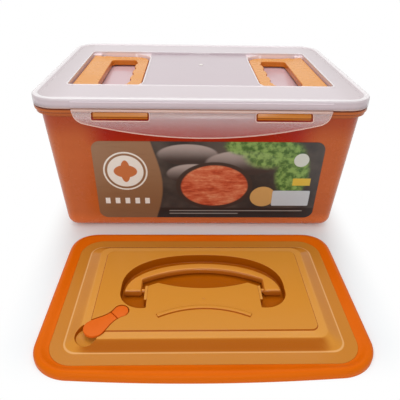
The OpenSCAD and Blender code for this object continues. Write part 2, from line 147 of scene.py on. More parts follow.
def grid(
    points: np.ndarray,
    wrap_u: bool = False,
    wrap_v: bool = False,
    keep: np.ndarray | None = None,
    flip: bool = False,
    caps: tuple[bool, bool] = (False, False),
) -> Patch:
    """Faces of a grid of points, where u counts rows and v counts columns.

    Args:
        points: Array of rows, columns and three coordinates.
        wrap_u: Whether the last row joins the first.
        wrap_v: Whether the last column joins the first.
        keep: Which cells get a face, or None for all.
        flip: Whether faces point the other way.
        caps: Whether the first and the last row are closed by a flat face.

    Returns:
        The patch. A row above another, walked against the clock, faces outwards.
    """
    rows, cols = points.shape[:2]
    index = np.arange(rows * cols).reshape(rows, cols)
    ends = [index[0][::-1]] * caps[0] + [index[-1]] * caps[1]
    if wrap_u:
        index = np.vstack([index, index[:1]])
    if wrap_v:
        index = np.hstack([index, index[:, :1]])
    quads = np.stack([index[:-1, :-1], index[:-1, 1:], index[1:, 1:], index[1:, :-1]], -1).reshape(-1, 4)
    if keep is not None:
        quads = quads[keep.ravel()]
    if flip:
        quads = quads[:, ::-1]
        ends = [e[::-1] for e in ends]
    return Patch(points.reshape(-1, 3), quads, ends)


def soften(points: Sequence[Sequence[float]], radii: float | Sequence[float], steps: int = 4) -> np.ndarray:
    """Rounds the inner corners of a line.

    Each corner becomes a quadratic curve between the two points that lie its radius away on both
    sides, with the corner as the curve's pull.

    Args:
        points: Corners of the line.
        radii: One radius, or one for each corner.
        steps: Pieces in each curve.

    Returns:
        The points of the rounded line.
    """
    p = np.asarray(points, float)
    radius = np.broadcast_to(np.asarray(radii, float), (len(p),))
    t = np.linspace(0.0, 1.0, steps + 1)[:, None]
    out = [p[:1]]
    for before, corner, after, r in zip(p[:-2], p[1:-1], p[2:], radius[1:-1]):
        back, ahead = before - corner, after - corner
        reach = min(r, 0.49 * np.linalg.norm(back), 0.49 * np.linalg.norm(ahead))
        start = corner + back / np.linalg.norm(back) * reach
        end = corner + ahead / np.linalg.norm(ahead) * reach
        curve = (1 - t) ** 2 * start + 2 * t * (1 - t) * corner + t**2 * end
        out.append(curve if reach > TINY else corner[None])
    out.append(p[-1:])
    return np.vstack(out)


def arc(cx: float, cy: float, r: float, start: float, end: float, steps: int) -> np.ndarray:
    """Points of an arc: centre plus r times the cosine and sine of angles from start to end, in degrees."""
    a = np.radians(np.linspace(start, end, steps + 1))
    return np.stack([cx + r * np.cos(a), cy + r * np.sin(a)], -1)


def spaced(line: np.ndarray, count: int, closed: bool) -> np.ndarray:
    """Walks a line in equal steps of length.

    Args:
        line: Corners of the line.
        count: How many points to return.
        closed: Whether the line runs back to its start.

    Returns:
        The points, evenly spaced along the line.
    """
    p = np.vstack([line, line[:1]]) if closed else line
    run = np.concatenate([[0.0], np.cumsum(np.linalg.norm(np.diff(p, axis=0), axis=1))])
    at = np.linspace(0.0, run[-1], count, endpoint=not closed)
    return np.stack([np.interp(at, run, p[:, 0]), np.interp(at, run, p[:, 1])], -1)


def raised(outline: np.ndarray, z: float | np.ndarray) -> np.ndarray:
    """Gives flat points a height."""
    return np.concatenate([outline, np.broadcast_to(z, len(outline))[:, None]], -1)


def outward(line: np.ndarray) -> np.ndarray:
    """Outward directions of a closed line that runs against the clock: its chords, turned to the right.

    Args:
        line: Points of the line.

    Returns:
        A direction of length 1 for each point.
    """
    along = np.roll(line, -1, 0) - np.roll(line, 1, 0)
    out = np.stack([along[:, 1], -along[:, 0]], -1)
    return out / np.linalg.norm(out, axis=1)[:, None]


def bar(
    outer: np.ndarray,
    inner: np.ndarray,
    low: float | np.ndarray,
    high: float | np.ndarray,
    r: float,
    closed: bool = False,
    flat: float = 0.0,
) -> Patch:
    """A flat bar that fills the space between two edges.

    Its section at each step is a rectangle from the outer to the inner edge whose four corners are
    quarter circles of radius r, or of half the section where that is less.

    Args:
        outer: Points of one edge, in plan.
        inner: Points of the other edge, as many.
        low: Height of the underside.
        high: Height of the top.
        r: Radius of the long edges.
        closed: Whether the bar runs back to its start.
        flat: Width of a strip beside each rounded edge that lets the faces between shade flat.

    Returns:
        The closed bar.
    """
    count = len(outer)
    low = np.broadcast_to(low, count)[:, None]
    high = np.broadcast_to(high, count)[:, None]
    across = inner - outer
    width = np.linalg.norm(across, axis=1)[:, None]
    across = across / np.maximum(width, TINY)
    r = np.minimum(r, 0.499 * np.minimum(width, high - low))
    a = np.linspace(0.0, 0.5 * np.pi, 5)[None]
    near, rise = r - r * np.cos(a), r * np.sin(a)
    if flat > 0:
        near = np.concatenate([0 * r, near, r + flat], 1)
        rise = np.concatenate([0 * r - flat, rise, r], 1)
    far, up, down = width - near, high - r + rise, low + r - rise
    along = np.concatenate([near, far[:, ::-1], far, near[:, ::-1]], 1)
    z = np.concatenate([up, up[:, ::-1], down, down[:, ::-1]], 1)
    plan = outer[:, None] + across[:, None] * along[..., None]
    points = np.concatenate([plan, z[..., None]], -1)
    return grid(points, wrap_u=closed, wrap_v=True, caps=(not closed, not closed))


def fill(lines: Sequence[np.ndarray]) -> tuple[np.ndarray, np.ndarray]:
    """Triangles between closed lines in plan, whose steps all stay edges.

    Args:
        lines: The closed lines.

    Returns:
        The points and the corner numbers of the triangles, over the whole outline.
    """
    starts = np.cumsum([0] + [len(line) for line in lines])
    steps = [
        np.stack([np.arange(len(line)), np.roll(np.arange(len(line)), -1)], -1) + start
        for line, start in zip(lines, starts)
    ]
    places, close = [Vector(p) for p in np.vstack(lines)], 1e-4
    points, _, faces, *_ = delaunay_2d_cdt(places, np.vstack(steps).tolist(), [], 0, close)
    return np.array([p[:] for p in points]), np.array(faces)


def within(points: np.ndarray, line: np.ndarray) -> np.ndarray:
    """Tells which points lie inside a closed line: a ray to the right crosses it an odd number of times.

    Args:
        points: The points.
        line: Points of the line.

    Returns:
        A flag for each point.
    """
    x, y = points[:, :1], points[:, 1:]
    ax, ay = line.T
    bx, by = np.roll(line, -1, 0).T
    cross = (ay > y) != (by > y)
    rise = np.where(np.abs(by - ay) < TINY, TINY, by - ay)
    return ((cross & (x < ax + (y - ay) * (bx - ax) / rise)).sum(1) % 2).astype(bool)


def soft_box(low: Sequence[float], high: Sequence[float], r: float) -> Patch:
    """A box with round edges.

    Points of a plain box are drawn to the box that is smaller by r on every side, and then pushed
    out again by r along the line from it.

    Args:
        low: Lowest corner.
        high: Highest corner.
        r: Radius of the edges.

    Returns:
        The box, as six grids that meet.
    """
    first, last = np.asarray(low, float), np.asarray(high, float)
    middle, half = (first + last) / 2, (last - first) / 2
    edge_points = 4
    sides = []
    for axis in range(3):
        u, v = (axis + 1) % 3, (axis + 2) % 3
        edges = [np.linspace(half[k] - r, half[k], edge_points) for k in (u, v)]
        lines = [np.concatenate([-edge[::-1], edge]) for edge in edges]
        for sign in (-1.0, 1.0):
            box = np.empty((len(lines[0]), len(lines[1]), 3))
            box[..., axis] = sign * half[axis]
            box[..., u] = lines[0][:, None]
            box[..., v] = lines[1][None]
            core = np.clip(box, r - half, half - r)
            away = box - core
            away /= np.maximum(np.linalg.norm(away, axis=-1, keepdims=True), TINY)
            sides.append(grid(core + r * away + middle, flip=sign > 0))
    return join(sides)


def rod(start: Sequence[float], end: Sequence[float], r: float, steps: int = 24) -> Patch:
    """A round rod with softened ends: circles about the line from start to end, smaller at both ends.

    Args:
        start: Middle of one end.
        end: Middle of the other end.
        r: Radius.
        steps: Points around it.

    Returns:
        The closed rod.
    """
    a, b = np.asarray(start, float), np.asarray(end, float)
    length = float(np.linalg.norm(b - a))
    along = (b - a) / length
    side = np.cross(along, [0.0, 0.0, 1.0])
    side = side / np.linalg.norm(side)
    up = np.cross(side, along)
    t = np.linspace(0.0, 2 * np.pi, steps, endpoint=False)
    circle = np.cos(t)[:, None] * side + np.sin(t)[:, None] * up
    soft = 0.25 * r
    bend = 0.3 * soft
    sizes = np.array([r - soft, r - bend, r, r, r - bend, r - soft])
    places = np.array([0.0, bend, soft, length - soft, length - bend, length])
    points = a + places[:, None, None] * along + sizes[:, None, None] * circle[None]
    return grid(points, wrap_v=True, caps=(True, True))


def half_oval(half: float, rise: float, power: float, angles: np.ndarray) -> np.ndarray:
    """Upper half of an oval: the powers of x / half and y / rise add up to 1.

    Args:
        half: Half its width.
        rise: Its height above the base line.
        power: Power of both coordinates in its equation.
        angles: Where its points lie, in degrees.

    Returns:
        The points.
    """
    c, s = np.cos(np.radians(angles)), np.sin(np.radians(angles))
    return np.stack([half * np.sign(c) * np.abs(c) ** (2 / power), rise * np.abs(s) ** (2 / power)], -1)


def post(x: float, y: float, low: float, high: float, r: float) -> Patch:
    """An upright rod from low to high. It leans by a hair, so that a rod's side direction is defined."""
    hair = 1e-6
    return rod((x, y, low), (x, y + hair, high), r)


@dataclass(frozen=True)
class Loop:
    """A walk around a rectangle with round corners, against the clock.

    Attributes:
        sx: Place across, as a share of the distance from the middle to a corner's centre.
        sy: The same from front to back.
        nx: Outward direction across.
        ny: Outward direction from front to back.
    """

    sx: np.ndarray
    sy: np.ndarray
    nx: np.ndarray
    ny: np.ndarray

    @classmethod
    def walk(cls, long: np.ndarray, short: np.ndarray, steps: int = 14) -> "Loop":
        """Makes the walk.

        Args:
            long: Stops along the front and back, from -1 to 1.
            short: Stops along the left and right, from -1 to 1.
            steps: Pieces in each corner.

        Returns:
            The walk, which starts at the right side.
        """
        turn = np.radians(np.linspace(0.0, 90.0, steps + 1)[1:-1])
        parts = []
        for k, stops in enumerate((short, long, short, long)):
            c, s = round(math.cos(k * math.pi / 2)), round(math.sin(k * math.pi / 2))
            n = np.tile([c, s], (len(stops), 1))
            parts.append(np.column_stack([c - s * stops, s + c * stops, n]))
            a = turn + k * math.pi / 2
            corner = np.tile([c - s, s + c], (len(a), 1))
            parts.append(np.column_stack([corner, np.cos(a), np.sin(a)]))
        sx, sy, nx, ny = np.vstack(parts).T
        return cls(sx, sy, nx, ny)

    def ring(self, cx: float, cy: float, x: float | np.ndarray) -> np.ndarray:
        """Points of one ring: the corners' centres at (cx, cy), plus x along the outward direction."""
        return np.stack([self.sx * cx + self.nx * x, self.sy * cy + self.ny * x], -1)

    def carry(self, cx: float, cy: float, profile: np.ndarray, bulge: np.ndarray | None = None) -> np.ndarray:
        """Carries a profile around the walk.

        Args:
            cx: Distance of a corner's centre from the middle, across.
            cy: The same from front to back.
            profile: Rows of distance from the corner's centre and height.
            bulge: Extra distance for each row and stop, or None.

        Returns:
            Grid of points, one row for each row of the profile.
        """
        extra = np.zeros((len(profile), len(self.sx))) if bulge is None else bulge
        return np.stack([raised(self.ring(cx, cy, x + e), z) for (x, z), e in zip(profile, extra)])


class Socket:
    """A node's output that takes part in Python expressions."""

    def __init__(self, graph: "Graph", link: bpy.types.NodeSocket) -> None:
        """Keeps the graph and the output."""
        self.graph = graph
        self.link = link

    def maths(self, operation: str, *others: Any) -> "Socket":
        """Adds a Math node of that operation on this value and the others."""
        inputs = dict(enumerate((self,) + others))
        return self.graph.out("ShaderNodeMath", {"operation": operation}, inputs)

    def __add__(self, other: Any) -> "Socket":
        """Sum."""
        return self.maths("ADD", other)

    __radd__ = __add__

    def __mul__(self, other: Any) -> "Socket":
        """Product."""
        return self.maths("MULTIPLY", other)

    __rmul__ = __mul__

    def __sub__(self, other: Any) -> "Socket":
        """Difference."""
        return self.maths("SUBTRACT", other)

    def __rsub__(self, other: Any) -> "Socket":
        """Difference the other way round."""
        return self.graph.out("ShaderNodeMath", {"operation": "SUBTRACT"}, {0: other, 1: self})

    def __truediv__(self, other: Any) -> "Socket":
        """Quotient."""
        return self.maths("DIVIDE", other)

    def __abs__(self) -> "Socket":
        """Size without sign."""
        return self.maths("ABSOLUTE")

    def power(self, other: float) -> "Socket":
        """This value to a power."""
        return self.maths("POWER", other)

    def sine(self) -> "Socket":
        """Sine of this value."""
        return self.maths("SINE")

    def least(self, other: Any) -> "Socket":
        """The smaller of two values."""
        return self.maths("MINIMUM", other)

    def most(self, other: Any) -> "Socket":
        """The larger of two values."""
        return self.maths("MAXIMUM", other)

    def below(self, low: float, high: float) -> "Socket":
        """Smooth step from 1 at low to 0 at high."""
        return 1 - self.ease(low, high)

    def ease(self, low: float, high: float) -> "Socket":
        """Smooth step from 0 at low to 1 at high.

        Args:
            low: Where the step begins.
            high: Where it ends.

        Returns:
            The step.
        """
        return self.graph.out(
            "ShaderNodeMapRange",
            {"interpolation_type": "SMOOTHSTEP"},
            {"Value": self, "From Min": low, "From Max": high},
        )


class Graph:
    """The nodes of a material or a world."""

    def __init__(self, owner: bpy.types.Material | bpy.types.World) -> None:
        """Starts without nodes.

        Args:
            owner: The material or world.
        """
        self.owner = owner
        owner.use_nodes = True
        self.tree = owner.node_tree
        self.tree.nodes.clear()

    def add(
        self,
        kind: str,
        settings: dict[str, Any] | None = None,
        inputs: dict[int | str, Any] | None = None,
    ) -> bpy.types.Node:
        """Adds one node.

        Args:
            kind: The node's type.
            settings: Its settings, set first. The key stops holds a ramp's places and colours,
                first and last before those between.
            inputs: Values or links of its sockets, by name or number.

        Returns:
            The node.
        """
        node = self.tree.nodes.new(kind)
        for key, value in (settings or {}).items():
            if key == "stops":
                ramp = node.color_ramp.elements
                for place, colour in value[2:]:
                    ramp.new(place).color = colour
                for k, (place, colour) in zip((0, -1), value):
                    ramp[k].position, ramp[k].color = place, colour
            else:
                setattr(node, key, value)
        for key, value in (inputs or {}).items():
            if isinstance(value, Socket):
                self.tree.links.new(value.link, node.inputs[key])
            else:
                node.inputs[key].default_value = value
        return node

    def out(
        self,
        kind: str,
        settings: dict[str, Any] | None = None,
        inputs: dict[int | str, Any] | None = None,
        output: int | str = 0,
    ) -> Socket:
        """Adds a node and returns one of its outputs, by name or number."""
        return Socket(self, self.add(kind, settings, inputs).outputs[output])

    def place(self, axis: str, kind: str = "Object") -> Socket:
        """One part of a texture coordinate, by default of the place in the part's frame, in metres."""
        where = self.out("ShaderNodeTexCoord", output=kind)
        return self.out("ShaderNodeSeparateXYZ", inputs={0: where}, output=axis)

    def facing(self, axis: str) -> Socket:
        """One part of the surface's direction in object space."""
        return self.place(axis, "Normal")

    def seen(self) -> Socket:
        """Is 1 for rays from the camera and for those that reflect or pass through on their way.

        Returns:
            The flag.
        """
        path = self.add("ShaderNodeLightPath")
        seen = Socket(self, path.outputs["Is Camera Ray"])
        for name in ("Is Glossy Ray", "Is Transmission Ray"):
            seen = seen.most(Socket(self, path.outputs[name]))
        return seen

    def noise(self, scale: Sequence[float] | float, detail: float = 2.0, rough: float = 0.5) -> Socket:
        """Cloudy values from 0 to 1.

        Args:
            scale: Waves to the metre, one for all directions or one for each.
            detail: Number of finer layers.
            rough: Strength of the finer layers.

        Returns:
            The value.
        """
        sizes = (scale,) * 3 if isinstance(scale, (int, float)) else tuple(scale)
        where = self.out("ShaderNodeTexCoord", output="Object")
        stretched = self.out("ShaderNodeMapping", inputs={"Vector": where, "Scale": sizes})
        values = {"Vector": stretched, "Scale": 1.0, "Detail": detail, "Roughness": rough}
        return self.out("ShaderNodeTexNoise", inputs=values, output="Fac")

    def blend(self, factor: Socket, first: Any, second: Any) -> Socket:
        """Mixes two colours.

        Args:
            factor: Share of the second colour.
            first: Colour or socket.
            second: Colour or socket.

        Returns:
            The mixed colour.
        """
        return self.out("ShaderNodeMix", {"data_type": "RGBA"}, {0: factor, 6: first, 7: second}, 2)

    def bump(self, height: Socket, depth: float) -> Socket:
        """Normal of a surface with that height, whose full range is depth metres."""
        return self.out("ShaderNodeBump", inputs={"Height": height, "Distance": depth, "Strength": 1.0})

    def finish(self, inputs: dict[int | str, Any]) -> bpy.types.Material:
        """Closes the graph with a Principled surface.

        Args:
            inputs: Its sockets by name.

        Returns:
            The finished material.
        """
        surface = self.out("ShaderNodeBsdfPrincipled", inputs=inputs)
        self.add("ShaderNodeOutputMaterial", inputs={"Surface": surface})
        return self.owner


@dataclass(frozen=True)
class Layer:
    """A colour that fades in between two heights.

    Attributes:
        tint: The colour.
        start: Height where it begins, in metres.
        full: Height where it is full, in metres, above or below the start.
        share: How much of it shows there.
        half: How far it reaches to the left and right on the outside of the front and back, in metres,
            or None for all sides.
        outer: Whether it shows on outward faces only.
    """

    tint: RGB
    start: float
    full: float
    share: float = 1.0
    half: float | None = None
    outer: bool = False

    def over(self, g: Graph, colour: Socket) -> Socket:
        """Lays it over a colour.

        Args:
            g: The material's graph.
            colour: The colour below.

        Returns:
            The colour with the layer on it.
        """
        side_fade, full_outside = 0.03, 0.05
        amount = g.place("Z").ease(self.start, self.full) * self.share
        if self.half is not None:
            away = g.facing("Y") * g.place("Y")
            amount = amount * abs(g.place("X")).ease(self.half, self.half - side_fade)
            amount = amount * away.ease(0.0, full_outside)
        if self.outer:
            away = g.facing("X") * g.place("X") + g.facing("Y") * g.place("Y")
            amount = amount * away.ease(0.0, full_outside)
        return g.blend(amount, colour, linear(self.tint))


@dataclass(frozen=True)
class Moulded:
    """Moulded plastic or silicone: soft colour clouds, fine grain, faint flow lines and rubbed patches.

    Attributes:
        name: Name of the material.
        tint: Main colour.
        shade: Colour of the deeper clouds.
        rough: Middle roughness.
        grain: Depth of the fine grain in millimetres.
        grain_scale: Grains to the metre.
        alpha: Share of light that the surface stops.
        specular: Strength of the plain reflection.
        deep: Colour painted on steep walls as shade, or None.
        layers: Colours that change with height.
    """

    name: str
    tint: RGB
    shade: RGB
    rough: float = 0.4
    grain: float = 0.02
    grain_scale: float = 900.0
    alpha: float = 1.0
    specular: float = 0.5
    deep: RGB | None = None
    layers: tuple[Layer, ...] = ()

    def material(self) -> bpy.types.Material:
        """Builds the material's nodes.

        Returns:
            The material.
        """
        g = Graph(bpy.data.materials.new(self.name))
        clouds = g.noise(14.0, 3.0, 0.55)
        flow = g.noise((9.0, 9.0, 260.0), 2.0)
        grain = g.noise(self.grain_scale, 2.0, 0.6)
        specks = g.noise(self.grain_scale * 0.45, 1.0)
        share = (clouds * 0.7 + flow * 0.15 + specks * 0.15).ease(0.3, 0.72)
        rubbed = g.noise(45.0, 4.0, 0.65).ease(0.4, 0.75)
        colour = g.blend(share, linear(self.tint), linear(self.shade))
        for layer in self.layers:
            colour = layer.over(g, colour)
        if self.deep is not None:
            # Painted shade: steep faces take the deep colour.
            colour = g.blend((1 - abs(g.facing("Z"))).ease(0.08, 0.2), colour, linear(self.deep))
        inputs: dict[int | str, Any] = {
            "Base Color": colour,
            "Roughness": rubbed * 0.07 + grain * 0.05 + (self.rough - 0.06),
            "Normal": g.bump(grain * 0.7 + specks * 0.3, self.grain * MM),
            "Specular IOR Level": self.specular,
        }
        if self.alpha < 1.0:
            inputs["Alpha"] = clouds * 0.06 + (self.alpha - 0.03)
        return g.finish(inputs)


@dataclass(frozen=True)
class Milky:
    """Clear-white plastic whose colour and density change with height, with soft clouds and fine scuffs.

    Attributes:
        name: Name of the material.
        low: Colour below the band.
        high: Colour above the band.
        band: Heights between which the colour changes, in metres.
        thin: Share of light that it stops below the second band.
        dense: The same above it.
        fade: Heights between which the density changes, in metres.
        rough: Middle roughness.
        well: Colour of sunk floors near the middle, or None.
        layers: Colours that change with height.
    """

    name: str
    low: RGB
    high: RGB
    band: tuple[float, float]
    thin: float
    dense: float
    fade: tuple[float, float]
    rough: float = 0.2
    well: RGB | None = None
    layers: tuple[Layer, ...] = ()

    def material(self) -> bpy.types.Material:
        """Builds the material's nodes.

        Returns:
            The material.
        """
        g = Graph(bpy.data.materials.new(self.name))
        z = g.place("Z")
        clouds = g.noise(11.0, 3.0, 0.55)
        scuffs = g.noise((60.0, 420.0, 420.0), 3.0, 0.6)
        grain = g.noise(800.0, 2.0, 0.6)
        density = z.ease(*self.fade) * (self.dense - self.thin) + clouds * 0.06 + (self.thin - 0.03)
        tone = g.blend(z.ease(*self.band), linear(self.low), linear(self.high))
        tone = g.blend(clouds.ease(0.35, 0.75) * 0.25, tone, linear((214, 196, 202)))
        if self.well is not None:
            across = abs(g.place("X"))
            tone = g.blend(across.ease(0.118, 0.15) * 0.45, tone, linear((204, 188, 189)))
            field_end, outer_wall, inner_wall = (0.078, 0.074), (0.1345, 0.1335), (0.0585, 0.0605)
            sunk = z.ease(0.1464, 0.1446) * abs(g.place("Y")).ease(*field_end) * across.ease(*outer_wall)
            sunk = sunk * across.ease(*inner_wall)
            # Painted light: near-white, dense walls above the pockets' floors, where the narrow gaps beside
            # the handles lie in shade.
            pocket = g.blend(z.ease(0.136, 0.139), linear(self.well), linear((255, 236, 238)))
            tone = g.blend(sunk, tone, pocket)
            density = density.most(sunk * 0.92)
        for layer in self.layers:
            tone = layer.over(g, tone)
        return g.finish({
            "Base Color": tone,
            "Roughness": scuffs.ease(0.45, 0.75) * 0.04 + grain * 0.04 + (self.rough - 0.04),
            "Normal": g.bump(grain, 0.006 * MM),
            "Specular IOR Level": 0.5,
            "Alpha": density,
        })


@dataclass(frozen=True)
class Print:
    """Printed label: a brown end with a plain disc, and a dark field with leaves, pebbles and a red dish.

    Attributes:
        name: Name of the material.
        left: Left edge of the label, in metres.
        foot: Lower edge of the label, in metres.
        width: Width of the label, in metres.
        height: Height of the label, in metres.
    """

    name: str
    left: float
    foot: float
    width: float
    height: float

    def material(self) -> bpy.types.Material:
        """Builds the print, layer over layer.

        Returns:
            The material.
        """
        g = Graph(bpy.data.materials.new(self.name))
        u = (g.place("X") - self.left) / self.height
        v = (g.place("Z") - self.foot) / self.height
        end = self.width / self.height
        soft = g.noise(28.0, 3.0, 0.55)
        fine = g.noise(190.0, 3.0, 0.6)
        wobble = (soft - 0.5) * 0.5

        def oval(place: tuple[float, float], size: tuple[float, float]) -> Socket:
            """Distance from the middle of an oval, which is 1 on its edge.

            Args:
                place: Middle of the oval, in label heights.
                size: Half its width and half its height.

            Returns:
                The distance.
            """
            x, y = (u - place[0]) / size[0], (v - place[1]) / size[1]
            return (x * x + y * y).power(0.5)

        picture = g.blend(soft.ease(0.35, 0.7), linear((44, 42, 42)), linear((82, 74, 68)))
        stones = (((1.02, 0.84), (0.34, 0.13)), ((1.62, 0.74), (0.42, 0.16)), ((1.08, 0.6), (0.3, 0.13)))
        for place, size in stones:
            stone = oval(place, size) + wobble * 0.12
            lit = ((v - place[1]) / size[1] + wobble * 0.8).ease(-0.7, 1.0)
            tone = g.blend(lit, linear((58, 48, 46)), linear((176, 162, 156)))
            picture = g.blend(stone.below(0.9, 1.02), picture, tone)

        leaf_tone = g.blend(fine.ease(0.35, 0.65), linear((62, 104, 40)), linear((140, 176, 92)))
        leaves = oval((1.95, 0.86), (0.36, 0.2)).least(oval((2.18, 0.62), (0.2, 0.34)))
        leaves = leaves.least(oval((1.68, 0.95), (0.3, 0.13))) + wobble * 0.7
        picture = g.blend(leaves.below(0.72, 1.08) * 0.9, picture, leaf_tone)

        dish = oval((1.32, 0.44), (0.4, 0.29))
        strands = g.noise((70.0, 70.0, 260.0), 4.0, 0.65).ease(0.3, 0.7)
        food = g.out("ShaderNodeValToRGB", {"stops": [
            (0.0, linear((150, 46, 26))), (1.0, linear((226, 160, 118))), (0.35, linear((196, 84, 52))),
            (0.7, linear((212, 118, 82)))]}, {0: strands * 0.7 + fine * 0.3})
        picture = g.blend(dish.below(1.05, 1.1), picture, linear((58, 46, 42)))
        picture = g.blend((dish + wobble * 0.15).below(0.9, 0.96), picture, food)

        wood = oval((1.88, 0.3), (0.15, 0.14))
        picture = g.blend(wood.below(0.94, 1.0), picture, linear((206, 160, 96)))

        picture = g.blend(v.below(0.135, 0.15), picture, linear((40, 33, 30)))
        long_line, short_line = (abs(v - height).below(0.004, 0.009) for height in (0.1, 0.06))
        lines = long_line.most(short_line * u.ease(1.62, 1.6)) * u.ease(0.8, 0.82)
        picture = g.blend(lines * u.ease(end - 0.12, end - 0.14) * 0.6, picture, linear((186, 180, 172)))

        grained = g.noise((30.0, 30.0, 220.0), 3.0, 0.6)
        brown = g.blend((v + wobble * 0.6).ease(0.1, 0.95), linear((136, 96, 64)), linear((150, 112, 82)))
        brown = g.blend(grained.ease(0.5, 0.8) * 0.3, brown, linear((112, 74, 46)))
        edge = (u - 0.66 - ((v * 3.6).sine() * 0.08)).ease(-0.012, 0.012)
        picture = g.blend(edge, brown, picture)
        middle = (0.34, 0.63)
        disc = oval(middle, (0.2, 0.2))
        ring = abs(disc - 1.16).below(0.03, 0.06)
        picture = g.blend(disc.below(0.97, 1.0).most(ring), picture, linear((236, 230, 220)))
        core = oval(middle, (0.13, 0.08)).least(oval(middle, (0.055, 0.14)))
        picture = g.blend(core.below(0.95, 1.02), picture, linear((196, 112, 62)))
        dots = abs(v - 0.24).below(0.035, 0.042) * abs((u * 28.0).sine()).below(0.62, 0.72)
        dots = dots * u.ease(0.065, 0.075) * u.below(0.6, 0.61)
        picture = g.blend(dots, picture, linear((238, 234, 226)))
        yellow = abs(v - 0.5).below(0.045, 0.05) * u.ease(end - 0.3, end - 0.29)
        yellow = yellow * u.below(end - 0.1, end - 0.09)
        picture = g.blend(yellow * 0.95, picture, linear((222, 186, 66)))

        badge = oval((2.26, 0.78), (0.085, 0.085))
        picture = g.blend(badge.below(0.94, 1.0), picture, linear((206, 210, 200)))

        weave = g.noise(1300.0, 2.0)
        return g.finish({
            "Base Color": picture,
            "Roughness": weave * 0.1 + 0.34,
            "Normal": g.bump(weave, 0.01 * MM),
            "Specular IOR Level": 0.45,
        })


@dataclass(frozen=True)
class Paper:
    """Blank paper sticker: pale stock with short fibres and a faint shine.

    Attributes:
        name: Name of the material.
        tint: Colour of the stock.
    """

    name: str
    tint: RGB

    def material(self) -> bpy.types.Material:
        """Builds the material's nodes.

        Returns:
            The material.
        """
        g = Graph(bpy.data.materials.new(self.name))
        fibres = g.noise((700.0, 700.0, 2400.0), 3.0, 0.65)
        stain = g.noise(60.0, 2.0)
        tone = g.blend(fibres * 0.5 + stain * 0.3, linear(self.tint), linear((170, 178, 184)))
        return g.finish({
            "Base Color": tone,
            "Roughness": fibres * 0.15 + 0.5,
            "Normal": g.bump(fibres, 0.02 * MM),
        })


Finish = Moulded | Milky | Print | Paper


